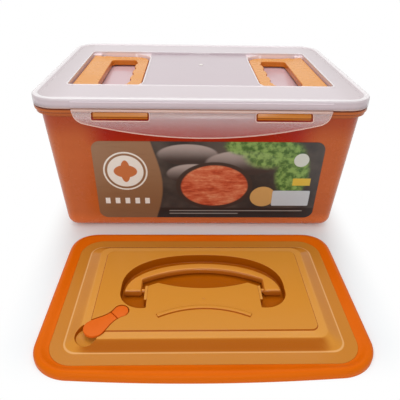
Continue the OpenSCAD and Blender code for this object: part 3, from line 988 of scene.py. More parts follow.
@dataclass
class Finishes:
    """The finishes of the whole object, each made once."""

    tub: Moulded = Moulded(
        "tub_orange", (198, 100, 42), (188, 90, 36), rough=0.28, grain=0.008, specular=0.26,
        layers=(
            # Painted shade: deeper red on the upper wall below the rim.
            Layer((164, 58, 16), 0.102, 0.128, 0.8),
            # Painted shadow: near-red band under the flaps, on the outside of the front and back.
            Layer((162, 8, 3), 0.095, 0.107, 0.88, 0.118),
            # Painted shade: darker tone on the rim band below the skirt.
            Layer((176, 88, 32), 0.1286, 0.1292),
            # Painted shadow: a dark line across the rim band, on outward faces.
            Layer((112, 44, 12), 0.1328, 0.1333, 0.7, outer=True),
            # The rim band's tone again above that line.
            Layer((186, 96, 36), 0.1339, 0.1344),
            # Painted shadow: a dark line just below the skirt, on outward faces.
            Layer((104, 36, 8), 0.1362, 0.1367, 0.85, outer=True),
            # The rim band's tone again above it.
            Layer((190, 98, 40), 0.1375, 0.1378),
            # Lighter towards the base.
            Layer((220, 110, 48), 0.022, 0.008, 0.8),
        ))
    # The lugs are the tub's plastic: their paler, yellower tint is painted light, and the dark line across
    # their nose is painted shade.
    lug: Moulded = Moulded(
        "lug_orange_painted_light", (204, 126, 40), (195, 117, 34), rough=0.26, grain=0.006, specular=0.3,
        layers=(Layer((134, 62, 10), 0.1318, 0.1314, 0.8), Layer((206, 122, 36), 0.1308, 0.1304)))
    lid: Milky = Milky(
        "lid_milky", (216, 200, 206), (230, 218, 222), (0.1449, 0.1466), 0.5, 0.86, (0.1385, 0.1432),
        well=(218, 184, 190),
        layers=(
            # Painted highlight: near-white crest along the rounded border.
            Layer((252, 246, 247), 0.147, 0.1476),
            # Painted highlight: pale peach line at the skirt's lower edge, on the front and back.
            Layer((255, 220, 204), 0.1399, 0.1388, 1.0, 0.165),
        ))
    flap: Milky = Milky(
        "flap_milky", (234, 212, 210), (238, 226, 226), (0.118, 0.132), 0.1, 0.3, (0.114, 0.135))
    # Painted highlight: pale finish of the beads on the flap's edge, round its slots and on the hinge line.
    flap_edge_highlight: Moulded = Moulded(
        "flap_edge_highlight", (250, 214, 200), (244, 205, 190), rough=0.25, grain=0.005, alpha=0.6)
    # Painted highlight: near-white finish of the beads along the pockets.
    bead: Moulded = Moulded(
        "bead_painted_highlight", (255, 247, 246), (250, 240, 240), rough=0.25, grain=0.005, alpha=0.8)
    # deep: painted shade on the handles' steep faces.
    handle: Moulded = Moulded(
        "handle_tan", (230, 156, 68), (224, 149, 62), rough=0.3, grain=0.002, specular=0.22,
        deep=(206, 116, 36))
    # deep: painted shade on the steep slopes and pocket walls.
    plate: Moulded = Moulded(
        "plate_tan", (213, 143, 54), (205, 134, 46), rough=0.2, grain=0.002, specular=0.1, deep=(170, 86, 4),
        layers=(
            # Painted highlight: pale band along the top edge of the slope.
            Layer((228, 162, 80), 0.0112, 0.0118, 0.45),
            # The plateau's tone again above that band.
            Layer((211, 140, 51), 0.0123, 0.0128),
            # Painted highlight: pale line along the foot of the slope.
            Layer((236, 184, 122), 0.0063, 0.006, 0.65),
            # Darker tone on the flange.
            Layer((200, 128, 44), 0.00578, 0.0056),
            # Painted shade: darker floors in the sunk pockets.
            Layer((176, 91, 6), 0.0053, 0.0046),
        ))
    # deep: painted shade on the bow's steep faces.
    bow: Moulded = Moulded(
        "bow_tan", (220, 145, 54), (212, 136, 46), rough=0.2, grain=0.002, specular=0.26,
        deep=(186, 106, 26))
    # Painted shade: the deep colour on steep faces, and the darker lower lip.
    seal: Moulded = Moulded(
        "seal_orange", (226, 105, 2), (219, 98, 0), rough=0.44, grain=0.012, specular=0.07,
        deep=(218, 102, 2), layers=(Layer((160, 56, 2), 0.0028, 0.0014, 0.9),))
    vent: Moulded = Moulded(
        "vent_orange", (230, 108, 26), (223, 100, 20), rough=0.42, grain=0.012, specular=0.1)
    gasket: Moulded = Moulded("gasket_white", (236, 232, 226), (224, 219, 212), rough=0.5, grain=0.01)
    label: Print = Print("label_print", -0.1065, 0.0135, 0.227, 0.091)
    sticker: Paper = Paper("sticker_paper", (206, 213, 217))


@dataclass
class Workshop:
    """Turns patches into pieces of the scene and dresses them.

    Attributes:
        finishes: The finishes.
        made: Materials that exist already, by name.
    """

    frame: dict[str, Any]
    finishes: Finishes
    made: dict[str, bpy.types.Material] = field(default_factory=dict)

    def material(self, finish: Finish) -> bpy.types.Material:
        """Looks up the material of a finish, which is made on first use.

        Args:
            finish: The finish.

        Returns:
            The material.
        """
        if finish.name not in self.made:
            self.made[finish.name] = finish.material()
        return self.made[finish.name]

    def mesh(self, name: str, patch: Patch, closed: bool) -> bpy.types.Mesh:
        """Puts a patch into a mesh.

        Args:
            name: Name of the mesh.
            patch: The surface.
            closed: Whether it bounds a solid, so that its faces can be turned outwards.

        Returns:
            The mesh, in metres, with meeting points merged.
        """
        merge, sliver, smooth_below = 2e-6, 1e-6, math.radians(32.0)
        mesh = bpy.data.meshes.new(name)
        corners = np.concatenate([patch.quads.ravel()] + patch.caps).astype(np.int32)
        totals = np.array([4] * len(patch.quads) + [len(c) for c in patch.caps], np.int32)
        starts = np.concatenate([[0], np.cumsum(totals)[:-1]]).astype(np.int32)
        mesh.vertices.add(len(patch.points))
        mesh.vertices.foreach_set("co", (patch.points * MM).astype(np.float32).ravel())
        mesh.loops.add(len(corners))
        mesh.loops.foreach_set("vertex_index", corners)
        mesh.polygons.add(len(totals))
        mesh.polygons.foreach_set("loop_start", starts)
        mesh.polygons.foreach_set("loop_total", totals)
        mesh.update(calc_edges=True)
        work = bmesh.new()
        work.from_mesh(mesh)
        bmesh.ops.remove_doubles(work, verts=work.verts, dist=merge)
        bmesh.ops.dissolve_degenerate(work, edges=work.edges, dist=sliver)
        if closed:
            bmesh.ops.recalc_face_normals(work, faces=work.faces)
        work.to_mesh(mesh)
        work.free()
        mesh.polygons.foreach_set("use_smooth", np.ones(len(mesh.polygons), bool))
        mesh.set_sharp_from_angle(angle=smooth_below)
        return mesh

    def piece(
        self,
        name: str,
        patch: Patch,
        finish: Finish,
        body: str,
        slot: str,
        stands_for: Sequence[str] = (),
        closed: bool = True,
    ) -> bpy.types.Object:
        """Makes one piece, lets it ride on its body and reports it.

        Args:
            name: Name of the piece.
            patch: Its surface.
            finish: Its finish.
            body: The body that carries it.
            slot: Name of a material slot; not used.
            stands_for: Solids that it is shown in place of.
            closed: Whether it bounds a solid.

        Returns:
            The piece.
        """
        piece = bpy.data.objects.new(name, self.mesh(name, patch, closed))
        bpy.context.scene.collection.objects.link(piece)
        piece.data.materials.append(self.material(finish))
        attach(piece, body)
        if stands_for:
            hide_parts(*stands_for)
        LOG.info("%s: %d faces on %s", name, len(piece.data.polygons), body)
        return piece

    def dress(self, node: str, finish: Finish) -> None:
        """Gives a solid that stays as it is its finish.

        Args:
            node: Name of the solid.
            finish: Its finish.
        """
        piece = self.frame["nodes"][node]
        piece.data.materials.clear()
        piece.data.materials.append(self.material(finish))
        LOG.info("%s: kept and dressed", node)


@dataclass
class Tub:
    """The drafted tub with its rim band and four latch lugs.

    Attributes:
        cx: Distance of a corner's centre from the middle, across.
        cy: The same from front to back.
        corner_r: Outer corner radius at the rim.
        wall: Wall thickness.
        base_r: Rounding between the wall and the base.
        lean: Lean of the wall for each unit of height.
        rim_z: Height of the ledge on top of the rim band.
        brim_z: Height of the brim.
        rim_out: Reach of the rim band from the corner's centre.
        lug_x: Distance of a lug's middle from the middle.
    """

    cx: float = 132.5
    cy: float = 91.5
    corner_r: float = 20.0
    wall: float = 2.4
    base_r: float = 12.0
    lean: float = 9.5 / 137.5
    rim_z: float = 137.5
    brim_z: float = 143.5
    rim_out: float = 24.0
    lug_x: float = 74.5

    def wall_at(self, z: float) -> float:
        """Reach of the outer wall from a corner's centre at height z."""
        return self.corner_r - self.lean * (self.rim_z - z)

    def profile(self) -> np.ndarray:
        """Section of the wall: up the outside, over the rim band and the brim, and down the inside.

        Returns:
            Reach from a corner's centre and height of each point.
        """
        foot = self.wall_at(self.base_r) - self.base_r
        out, band = self.rim_out, self.rim_z - 7.0
        under, hollow, lip = 135.3, out - 3.4, out - 1.5
        outside = arc(foot, self.base_r, self.base_r, -90.0, 0.0, 8)
        rim = soften(
            [
                outside[-1],
                (self.wall_at(under), under),
                (hollow, under),
                (hollow, band),
                (lip, band),
                (lip, band + 3.0),
                (out, band + 3.5),
                (out, self.rim_z),
                (self.corner_r, self.rim_z),
                (self.corner_r, self.brim_z),
                (self.corner_r - self.wall, self.brim_z),
                (self.corner_r - self.wall, self.rim_z),
                (foot + self.base_r - self.wall, self.base_r),
            ],
            [0, 0.8, 0.8, 0.5, 0.7, 0.4, 0.6, 0.7, 0.5, 0.9, 0.9, 2.0, 0],
        )
        inside = arc(foot, self.base_r, self.base_r - self.wall, 0.0, -90.0, 8)
        return np.vstack([outside, rim[1:-1], inside])

    def lug(self, x: float) -> Patch:
        """One latch lug on the front of the rim band, its middle at x: a ramp above a blunt nose.

        Args:
            x: Place of its middle across.

        Returns:
            The lug.
        """
        back, nose, foot, top = -113.6, -118.0, 129.0, 135.4
        section = soften(
            [(back, foot), (-117.0, foot), (nose, 131.2), (nose, 132.2), (-116.5, top), (back, top)],
            [0, 0.7, 0.4, 0.4, 0.5, 0],
        )
        section = np.vstack([section, [(-113.2, 132.5)]])
        middle = section.mean(0)
        places = np.array([-24.5, -24.2, -23.7, 23.7, 24.2, 24.5]) + x
        sizes = np.array([0.86, 0.95, 1.0, 1.0, 0.95, 0.86])
        rows = middle + (section - middle) * sizes[:, None, None]
        points = np.concatenate([np.broadcast_to(places[:, None, None], rows.shape[:2] + (1,)), rows], -1)
        return grid(points, wrap_v=True, caps=(True, True))

    def build(self, shop: Workshop) -> None:
        """Makes the tub with its lugs, and dresses its label and sticker.

        Args:
            shop: The workshop that makes the pieces.
        """
        loop = Loop.walk(np.linspace(-1, 1, 25), np.linspace(-1, 1, 17), 16)
        profile = self.profile()
        band_low, more_at_ends = 129.0, 1.4
        on_band = (profile[:, 1] > band_low) * ease(profile[:, 0], self.rim_out - 2.6, self.rim_out - 2.0)
        wider = on_band[:, None] * loop.nx**2 * more_at_ends
        shell = grid(loop.carry(self.cx, self.cy, profile, wider), wrap_v=True, caps=(True, True))
        lugs = [self.lug(x).turned(turn) for turn in Turn for x in (-self.lug_x, self.lug_x)]
        shop.piece("tub_shell", shell, shop.finishes.tub, "tub_body", "tub_plastic", ["tub"])
        shop.piece("latch_lugs", join(lugs), shop.finishes.lug, "tub_body", "tub_plastic")
        shop.dress("front_label", shop.finishes.label)
        shop.dress("price_sticker", shop.finishes.sticker)


@dataclass
class Lid:
    """The lid: skirt, raised border, frame, sunk panel, two handle pockets and four pivot bosses.

    Attributes:
        cx: Distance of a corner's centre from the middle, across.
        cy: The same from front to back.
        reach: Reach of the skirt from a corner's centre.
        wall: Thickness of the lid.
        skirt_z: Height of the skirt's lower edge.
        frame_z: Height of the frame's beads.
        face_z: Height of the frame between them.
        top_z: Height of the border.
        panel_z: Height of the panel.
        floor_z: Height of the pockets' floors.
        field_x: Half the width of the sunk field.
        field_y: Half its depth.
        field_r: Its corner radius.
        pocket_x: Distance of a pocket's inner edge from the middle.
        pocket_r: Radius of a pocket's inner corners.
        pad_x: Half the length of the thicker skirt above a flap.
        pad_out: How far it stands out.
    """

    cx: float = 132.5
    cy: float = 91.5
    reach: float = 25.5
    wall: float = 2.2
    skirt_z: float = 138.5
    frame_z: float = 147.2
    face_z: float = 146.9
    top_z: float = 148.0
    panel_z: float = 144.6
    floor_z: float = 134.0
    field_x: float = 131.0
    field_y: float = 71.0
    field_r: float = 4.0
    pocket_x: float = 60.0
    pocket_r: float = 20.5
    pad_x: float = 118.25
    pad_out: float = 1.2

    def loop(self) -> Loop:
        """Walk around the lid, with close stops where the thicker skirt begins.

        Returns:
            The walk.
        """
        end = self.pad_x / self.cx
        near = np.array([-0.004, -0.001, 0.001, 0.004])
        long = np.concatenate([np.linspace(-1, 1, 17), end + near, -end + near])
        return Loop.walk(np.unique(long), np.linspace(-1, 1, 13), 16)

    def skirt(self, loop: Loop) -> np.ndarray:
        """Rows of the skirt and border, from the lower edge over the rounded top edge to the frame.

        Args:
            loop: The walk around the lid.

        Returns:
            The rows.
        """
        edge_r = 2.5
        top = arc(self.reach - edge_r, self.top_z - edge_r, edge_r, 0.0, 90.0, 7)
        crease, face = self.face_z - 0.35, self.face_z
        step = soften(
            [top[-1], (21.4, self.top_z), (18.6, crease), (17.6, crease), (16.8, face), (15.0, face)],
            [0, 1.4, 0.5, 0.4, 0.4, 0], 3)
        heights = [self.skirt_z, self.skirt_z + 0.5, self.skirt_z + self.pad_out, 144.7, 145.15, 145.4]
        shares = [0.0, 0.42, 1.0, 1.0, 0.6, 0.0]
        low = np.stack([np.full(len(heights), self.reach), heights], -1)
        profile = np.vstack([low, top, step[1:]])
        weight = np.zeros(len(profile))
        weight[: len(shares)] = shares
        on_long_side = np.abs(loop.ny) > 0.99
        pad = on_long_side * (1 - ease(np.abs(loop.sx) * self.cx, self.pad_x - 0.2, self.pad_x + 0.2))
        return loop.carry(self.cx, self.cy, profile, weight[:, None] * pad * self.pad_out)

    def pocket(self, grow: float) -> tuple[np.ndarray, int]:
        """Outline of the right-hand pocket, against the clock from its inner back corner.

        Args:
            grow: How far the outline lies outside the pocket.

        Returns:
            The outline, and how many of its points belong to the inner edge.
        """
        x, y = self.pocket_x + self.pocket_r, self.field_y - self.pocket_r
        r = self.pocket_r + grow
        back = arc(x, y, r, 90.0, 180.0, 14)
        straight = np.stack([np.full(7, x - r), np.linspace(y, -y, 9)[1:-1]], -1)
        front = arc(x, -y, r, 180.0, 270.0, 14)
        inner = np.vstack([back, straight, front])
        fx, fy, fr = self.field_x - self.field_r, self.field_y - self.field_r, self.field_r + grow
        outer = np.vstack([arc(fx, -fy, fr, -90.0, 0.0, 5), arc(fx, fy, fr, 0.0, 90.0, 5)])
        return np.vstack([inner, outer]), len(inner)

    def sunk(self, grow: float, panel_z: float, floor_z: float, round_r: float) -> list[Patch]:
        """Panel and pockets of one face of the lid.

        Args:
            grow: How far the walls lie outside the pockets.
            panel_z: Height of the panel.
            floor_z: Height of the pockets' floors.
            round_r: Rounding of the panel's edge.

        Returns:
            The panel and both pockets, facing up.
        """
        outline, count = self.pocket(grow)
        normal = outward(outline)
        share = np.zeros(len(outline))
        share[:count] = ease(self.field_y + grow - np.abs(outline[:count, 1]), 0.0, 6.0)
        quarter, foot = np.radians(np.linspace(0.0, 90.0, 5)), 2.0
        rows = []
        for t in quarter[::-1]:
            out, down = share * round_r * (1 - math.cos(t)), share * round_r * (1 - math.sin(t))
            rows.append(raised(outline + normal * out[:, None], panel_z - down))
        for t in quarter:
            inset = foot * (1 - math.cos(t))
            rows.append(raised(outline - normal * inset, floor_z + foot * (1 - math.sin(t))))
        wall = grid(np.stack(rows), wrap_v=True, caps=(False, True))
        rim = rows[0][:count]
        across = np.linspace(-1.0, 1.0, 25)
        rest = np.broadcast_to(rim[:, None, 1:], (count, len(across), 2))
        sheet = np.concatenate([(rim[:, :1] * across)[..., None], rest], -1)
        return [grid(sheet, flip=True), wall, wall.turned(Turn.HALF)]

    def faces(self) -> Patch:
        """Both faces of the lid with the strip that joins them under the skirt.

        Returns:
            The faces.
        """
        loop = self.loop()
        fx, fy, fr = self.field_x - self.field_r, self.field_y - self.field_r, self.field_r
        face, lip = self.face_z, self.frame_z + 0.35
        well = soften(
            [(fr + 6.0, face), (fr + 2.1, face), (fr + 1.3, lip), (fr, lip), (fr, self.panel_z)],
            [0, 0.5, 0.5, 0.7, 0])
        top = np.concatenate([self.skirt(loop), loop.carry(fx, fy, well)])
        under_z = self.frame_z - self.wall
        inner = np.array([(self.reach - self.wall, self.skirt_z), (self.reach - self.wall, under_z)])
        below = np.array([(fr + self.wall, under_z), (fr + self.wall, self.panel_z - self.wall)])
        under = np.concatenate([loop.carry(self.cx, self.cy, inner), loop.carry(fx, fy, below)])
        strip = np.stack([under[0], top[0]])
        hollow = self.sunk(self.wall, self.panel_z - self.wall, self.floor_z - self.wall, 0.0)
        flipped = [Patch(p.points, p.quads[:, ::-1], [c[::-1] for c in p.caps]) for p in hollow]
        return join(
            [grid(top, wrap_v=True), grid(under, wrap_v=True, flip=True), grid(strip, wrap_v=True)]
            + self.sunk(0.0, self.panel_z, self.floor_z, 0.9)
            + flipped
        )

    def ribs(self) -> Patch:
        """The two ribs under the lid that hold the silicone ring.

        Returns:
            The ribs.
        """
        loop = Loop.walk(np.linspace(-1, 1, 9), np.linspace(-1, 1, 7), 12)
        under_z = self.frame_z - self.wall + 0.1
        parts = []
        for start, width, deep in ((13.6, 2.0, 5.6), (21.4, 1.2, 3.1)):
            end, low, cut = start + width, under_z - deep, 0.4
            section = np.array([
                (start, under_z), (start, low + cut), (start + cut, low),
                (end - cut, low), (end, low + cut), (end, under_z)])
            parts.append(grid(loop.carry(self.cx, self.cy, section), wrap_u=True, wrap_v=True))
        return join(parts)

    def beads(self) -> Patch:
        """The narrow bead on the panel along the inner edge of both pockets, as far as the field's walls.

        Returns:
            The beads.
        """
        outer, count = self.pocket(2.0)
        inner, _ = self.pocket(0.5)
        free = np.abs(outer[:count, 1]) < self.field_y
        bead = bar(outer[:count][free], inner[:count][free], self.panel_z - 0.2, self.panel_z + 0.35, 0.3)
        return join([bead, bead.turned(Turn.HALF)])

    def bosses(self) -> Patch:
        """The four pivot bosses at the outer corners of the pockets.

        Returns:
            The bosses.
        """
        inner, outer, thick, low = 121.0, 131.4, 5.6, self.floor_z - 0.3
        right = [soft_box((inner, y, low), (outer, y + thick, self.panel_z), 0.8) for y in (65.6, -71.2)]
        return join([b.turned(turn) for turn in Turn for b in right])

    def build(self, shop: Workshop) -> None:
        """Makes the lid, its gate mark, beads, ribs and bosses, and dresses the silicone ring.

        Args:
            shop: The workshop that makes the pieces.
        """
        look, body, slot = shop.finishes, "lid_body", "lid_plastic"
        shop.piece("lid_shell", self.faces(), look.lid, body, slot, ["lid_panel"], closed=False)
        gate = post(1.5, 19.5, self.panel_z - 0.2, self.panel_z + 0.7, 2.4)
        # Painted highlight: the gate mark is opaque white, for the glint on its small boss.
        shop.piece("lid_gate", gate, look.gasket, body, slot)
        # Painted highlight: the near-white beads along the pockets' inner edges.
        shop.piece("pocket_beads", self.beads(), look.bead, body, slot)
        shop.piece("lid_ribs", self.ribs(), look.lid, body, slot)
        shop.piece("pivot_bosses", self.bosses(), look.lid, body, slot)
        shop.dress("lid_gasket", look.gasket)


@dataclass
class Flap:
    """A latch flap: a thin wing with two slots, a bend below them and a bowed lower edge.

    Attributes:
        turn: Front as drawn, back after half a turn.
        half: Half the width.
        end_r: Radius of the ends.
        arc_r: Radius of the lower edge.
        top: Height of the hinge edge.
        low: Height of the lowest point.
        slot_x: Distance of a slot's middle from the middle.
        slot_half: Half a slot's length.
        slot_low: Height of a slot's lower edge.
        slot_top: Height of a slot's upper edge.
        slot_r: Radius of a slot's corners.
        thick: Thickness.
        hinge_y: Distance of the hinge line in front of the middle.
        hinge_z: Height of the hinge line.
    """

    turn: Turn
    half: float = 118.25
    end_r: float = 14.0
    arc_r: float = 460.0
    top: float = 137.95
    low: float = 112.6
    slot_x: float = 74.5
    slot_half: float = 26.0
    slot_low: float = 128.6
    slot_top: float = 136.0
    slot_r: float = 1.8
    thick: float = 1.8
    hinge_y: float = 117.3
    hinge_z: float = 137.1

    def columns(self) -> np.ndarray:
        """Stops across the flap, close together at the rounded corners of the slots and ends.

        Returns:
            The stops, from left to right.
        """
        a = np.radians(np.linspace(0.0, 90.0, 6))
        first, last = self.slot_x - self.slot_half, self.slot_x + self.slot_half
        bend = self.half - self.end_r
        right = np.concatenate([
            np.linspace(0.0, first, 14),
            first + self.slot_r * (1 - np.cos(a)),
            np.linspace(first + self.slot_r, last - self.slot_r, 15),
            last - self.slot_r * (1 - np.sin(a)),
            np.linspace(last, bend, 3),
            bend + self.end_r * np.sin(np.radians(np.linspace(0.0, 89.0, 16))),
        ])
        right = np.unique(np.round(right, 4))
        return np.concatenate([-right[:0:-1], right])

    def lower_edge(self, x: np.ndarray) -> np.ndarray:
        """Height of the lower edge: a wide arc that runs into the round ends.

        Args:
            x: Distances from the middle.

        Returns:
            The heights.
        """
        bend = self.half - self.end_r
        centre = self.low + self.arc_r - math.sqrt((self.arc_r - self.end_r) ** 2 - bend**2)
        meet = bend * (1 + self.end_r / (self.arc_r - self.end_r))
        wide = self.low + self.arc_r - np.sqrt(self.arc_r**2 - np.minimum(x, meet) ** 2)
        end = centre - np.sqrt(np.maximum(self.end_r**2 - np.maximum(x - bend, 0.0) ** 2, 0.0))
        return np.minimum(np.where(x > meet, end, wide), self.top - 0.4)

    def reach(self, z: np.ndarray) -> np.ndarray:
        """Distance of the flap's face in front of the middle at heights z.

        Args:
            z: The heights.

        Returns:
            The distances.
        """
        line = soften(
            [(118.2, 139.0), (118.2, 133.9), (120.2, 131.0), (121.0, 122.0), (122.0, 110.6)],
            [0, 1.6, 2.4, 4.0, 0], 5)
        return np.interp(z.ravel(), line[::-1, 1], line[::-1, 0]).reshape(z.shape)

    def beads(self) -> Patch:
        """The narrow bead along the flap's edge and around both slots, drawn flat and laid on its face.

        A round bead on the hinge line joins them.

        Returns:
            The beads.
        """
        x = self.columns()
        edge = np.stack([x, self.lower_edge(np.abs(x))], -1)
        line = spaced(edge[edge[:, 1] < self.top - 1.4], 260, False)
        along = np.gradient(line, axis=0)
        inward = np.stack([-along[:, 1], along[:, 0]], -1)
        inward /= np.linalg.norm(inward, axis=1)[:, None]
        parts = [bar(line, line + inward * 0.7, -1.5, 0.3, 0.3)]
        loop = Loop.walk(np.linspace(-1, 1, 9), np.linspace(-1, 1, 5), 6)
        r, mid, tall = self.slot_r, (self.slot_low + self.slot_top) / 2, (self.slot_top - self.slot_low) / 2
        outer, inner = (loop.ring(self.slot_half - r, tall - r, grow) for grow in (r + 0.8, r))
        for place in ([-self.slot_x, mid], [self.slot_x, mid]):
            parts.append(bar(outer + place, inner + place, -1.2, 0.25, 0.4, True))
        flat = join(parts)
        x, z, out = flat.points.T
        out = out - 0.5 * ease(z, 134.2, 135.6)
        laid = Patch(np.stack([x, -self.reach(z) - out, z], -1), flat.quads, flat.caps)
        end = self.half - 0.4
        first, last = ((x, -self.hinge_y, self.hinge_z) for x in (-end, end))
        return join([laid, rod(first, last, 1.2, 16)])

    def surface(self) -> Patch:
        """Outer face of the flap as a grid of columns and heights, open at the slots.

        Returns:
            The face.
        """
        x = self.columns()
        side = np.abs(x)
        off = np.abs(side - self.slot_x)
        round_off = np.clip(off - self.slot_half + self.slot_r, 0.0, self.slot_r)
        drop = self.slot_r - np.sqrt(self.slot_r**2 - round_off**2)
        slot_top, slot_low = self.slot_top - drop, self.slot_low + drop
        edge = self.lower_edge(side)
        last = self.slot_x + self.slot_half
        floor = np.where(side > last, self.lower_edge(np.array([last]))[0], edge)
        rows = [np.full_like(x, self.top), np.full_like(x, self.top - 0.5), (slot_top + self.top - 0.5) / 2]
        rows += [slot_top + (slot_low - slot_top) * t for t in np.linspace(0.0, 1.0, 7)]
        rows += [slot_low + (floor - slot_low) * t for t in np.linspace(0.0, 1.0, 13)[1:]]
        z = np.stack(rows)
        z = self.top - (self.top - z) * (self.top - edge) / (self.top - floor)
        y = -self.reach(z)
        points = np.stack([np.broadcast_to(x, z.shape), y, z], -1)
        keep = np.ones((z.shape[0] - 1, z.shape[1] - 1), bool)
        middle = np.abs((x[:-1] + x[1:]) / 2)
        keep[3:9, np.abs(middle - self.slot_x) < self.slot_half] = False
        return grid(points, keep=keep, flip=True)

    def build(self, shop: Workshop) -> None:
        """Makes the flap and its beads, gives it its thickness and softens its edges.

        Args:
            shop: The workshop that makes the pieces.
        """
        word = "front" if self.turn is Turn.DRAWN else "back"
        look, body, slot = shop.finishes, f"{word}_flap_body", "lid_plastic"
        wing, bead = self.surface().turned(self.turn), self.beads().turned(self.turn)
        piece = shop.piece(f"{word}_wing", wing, look.flap, body, slot, [f"{word}_flap"], closed=False)
        # Painted highlight: the pale beads along the flap's edge and round its slots, and the pale rod that
        # covers the dark gap on the hinge line.
        shop.piece(f"{word}_bead", bead, look.flap_edge_highlight, body, slot)
        wall = piece.modifiers.new("wall", "SOLIDIFY")
        wall.thickness, wall.offset = self.thick * MM, -1.0
        soft = piece.modifiers.new("edges", "BEVEL")
        soft.width, soft.segments, soft.limit_method = 0.4 * MM, 2, "ANGLE"
        soft.angle_limit = math.radians(50.0)


@dataclass
class LidHandle:
    """A folding lid handle: a loop with a wide hinge bar, a scalloped grip and two pivot pins.

    Attributes:
        turn: Right handle as drawn, left handle after half a turn.
        axle_x: Distance of the axle from the middle.
        axle_z: Height of the axle.
        thick: Thickness.
        half: Half the length.
        ear: Half the length of the hinge bar.
        grip_in: Distance of the grip's edge from the middle.
        corner_r: Radius of the corners on the grip side.
        drop: How far the loop lies below its hinge bar.
    """

    turn: Turn
    axle_x: float = 125.5
    axle_z: float = 140.35
    thick: float = 6.5
    half: float = 68.5
    ear: float = 64.9
    grip_in: float = 61.6
    corner_r: float = 19.0
    drop: float = 1.8

    def outline(self) -> np.ndarray:
        """Outer edge, against the clock from the middle of the hinge bar.

        Returns:
            Points of the outline.
        """
        h, e, x0, r = self.half, self.ear, self.grip_in, self.corner_r
        neck, back_x = self.axle_x - 8.5, self.axle_x + 4.0
        corners = [(back_x, 0.0), (back_x, e), (neck, e), (neck, h), (x0 + r, h)]
        back = soften(corners, [0, 0.6, 1.2, 1.5, 0], 5)
        grip = np.vstack([arc(x0 + r, h - r, r, 90.0, 180.0, 24), arc(x0 + r, r - h, r, 180.0, 270.0, 24)])
        front = back[1:-1][::-1] * [1.0, -1.0]
        return np.vstack([back[:-1], grip, front])

    def hole(self) -> np.ndarray:
        """Edge of the finger hole, with four finger scallops on the grip's side.

        Returns:
            Points of the edge.
        """
        x0, x1, h, r = self.grip_in + 14.0, 105.6, self.half - 17.0, 6.0
        finger_r, finger_off = 11.0, 9.0
        back = [arc(x1 - r, h - r, r, 0.0, 90.0, 10), arc(x0 + r, h - r, r, 90.0, 180.0, 10)]
        front = [arc(x0 + r, r - h, r, 180.0, 270.0, 10), arc(x1 - r, r - h, r, 270.0, 360.0, 10)]
        y = np.linspace(h - r, r - h, 161)[1:-1]
        centres = np.array([-1.5, -0.5, 0.5, 1.5]) * (h - 4.0) / 2
        near = np.abs(y[:, None] - centres).min(1)
        bite = np.sqrt(np.maximum(finger_r**2 - near**2, 0.0)) - finger_off
        soft_bite = np.convolve(np.pad(np.maximum(bite, 0.0), 3, "edge"), np.ones(7) / 7, "valid")
        grip = np.stack([x0 - soft_bite, y], -1)
        return np.vstack([[(x1, 0.0)], *back, grip, *front])

    def build(self, shop: Workshop) -> None:
        """Makes the loop with its hinge bar and the pins.

        Args:
            shop: The workshop that makes the pieces.
        """
        low, high = self.axle_z - self.thick / 2, self.axle_z + self.thick / 2
        count = 420
        hole = spaced(self.hole(), count, True)
        ring = bar(spaced(self.outline(), count, True), hole, low, high, 1.3, True, 0.25)
        ramp_end, ramp_start = hole[:, 0].max(), self.axle_x + 2.5
        lower = np.clip((ramp_start - ring.points[:, :1]) / (ramp_start - ramp_end), 0.0, 1.0)
        ring = Patch(ring.points - lower * [0.0, 0.0, self.drop], ring.quads, ring.caps)
        pin = self.ear + 3.5
        pins = rod((self.axle_x, -pin, self.axle_z), (self.axle_x, pin, self.axle_z), 2.48)
        word = "right" if self.turn is Turn.DRAWN else "left"
        shop.piece(
            f"{word}_grip", join([ring, pins]).turned(self.turn), shop.finishes.handle,
            f"{word}_handle_body", "handle_plastic", [f"{word}_handle"])


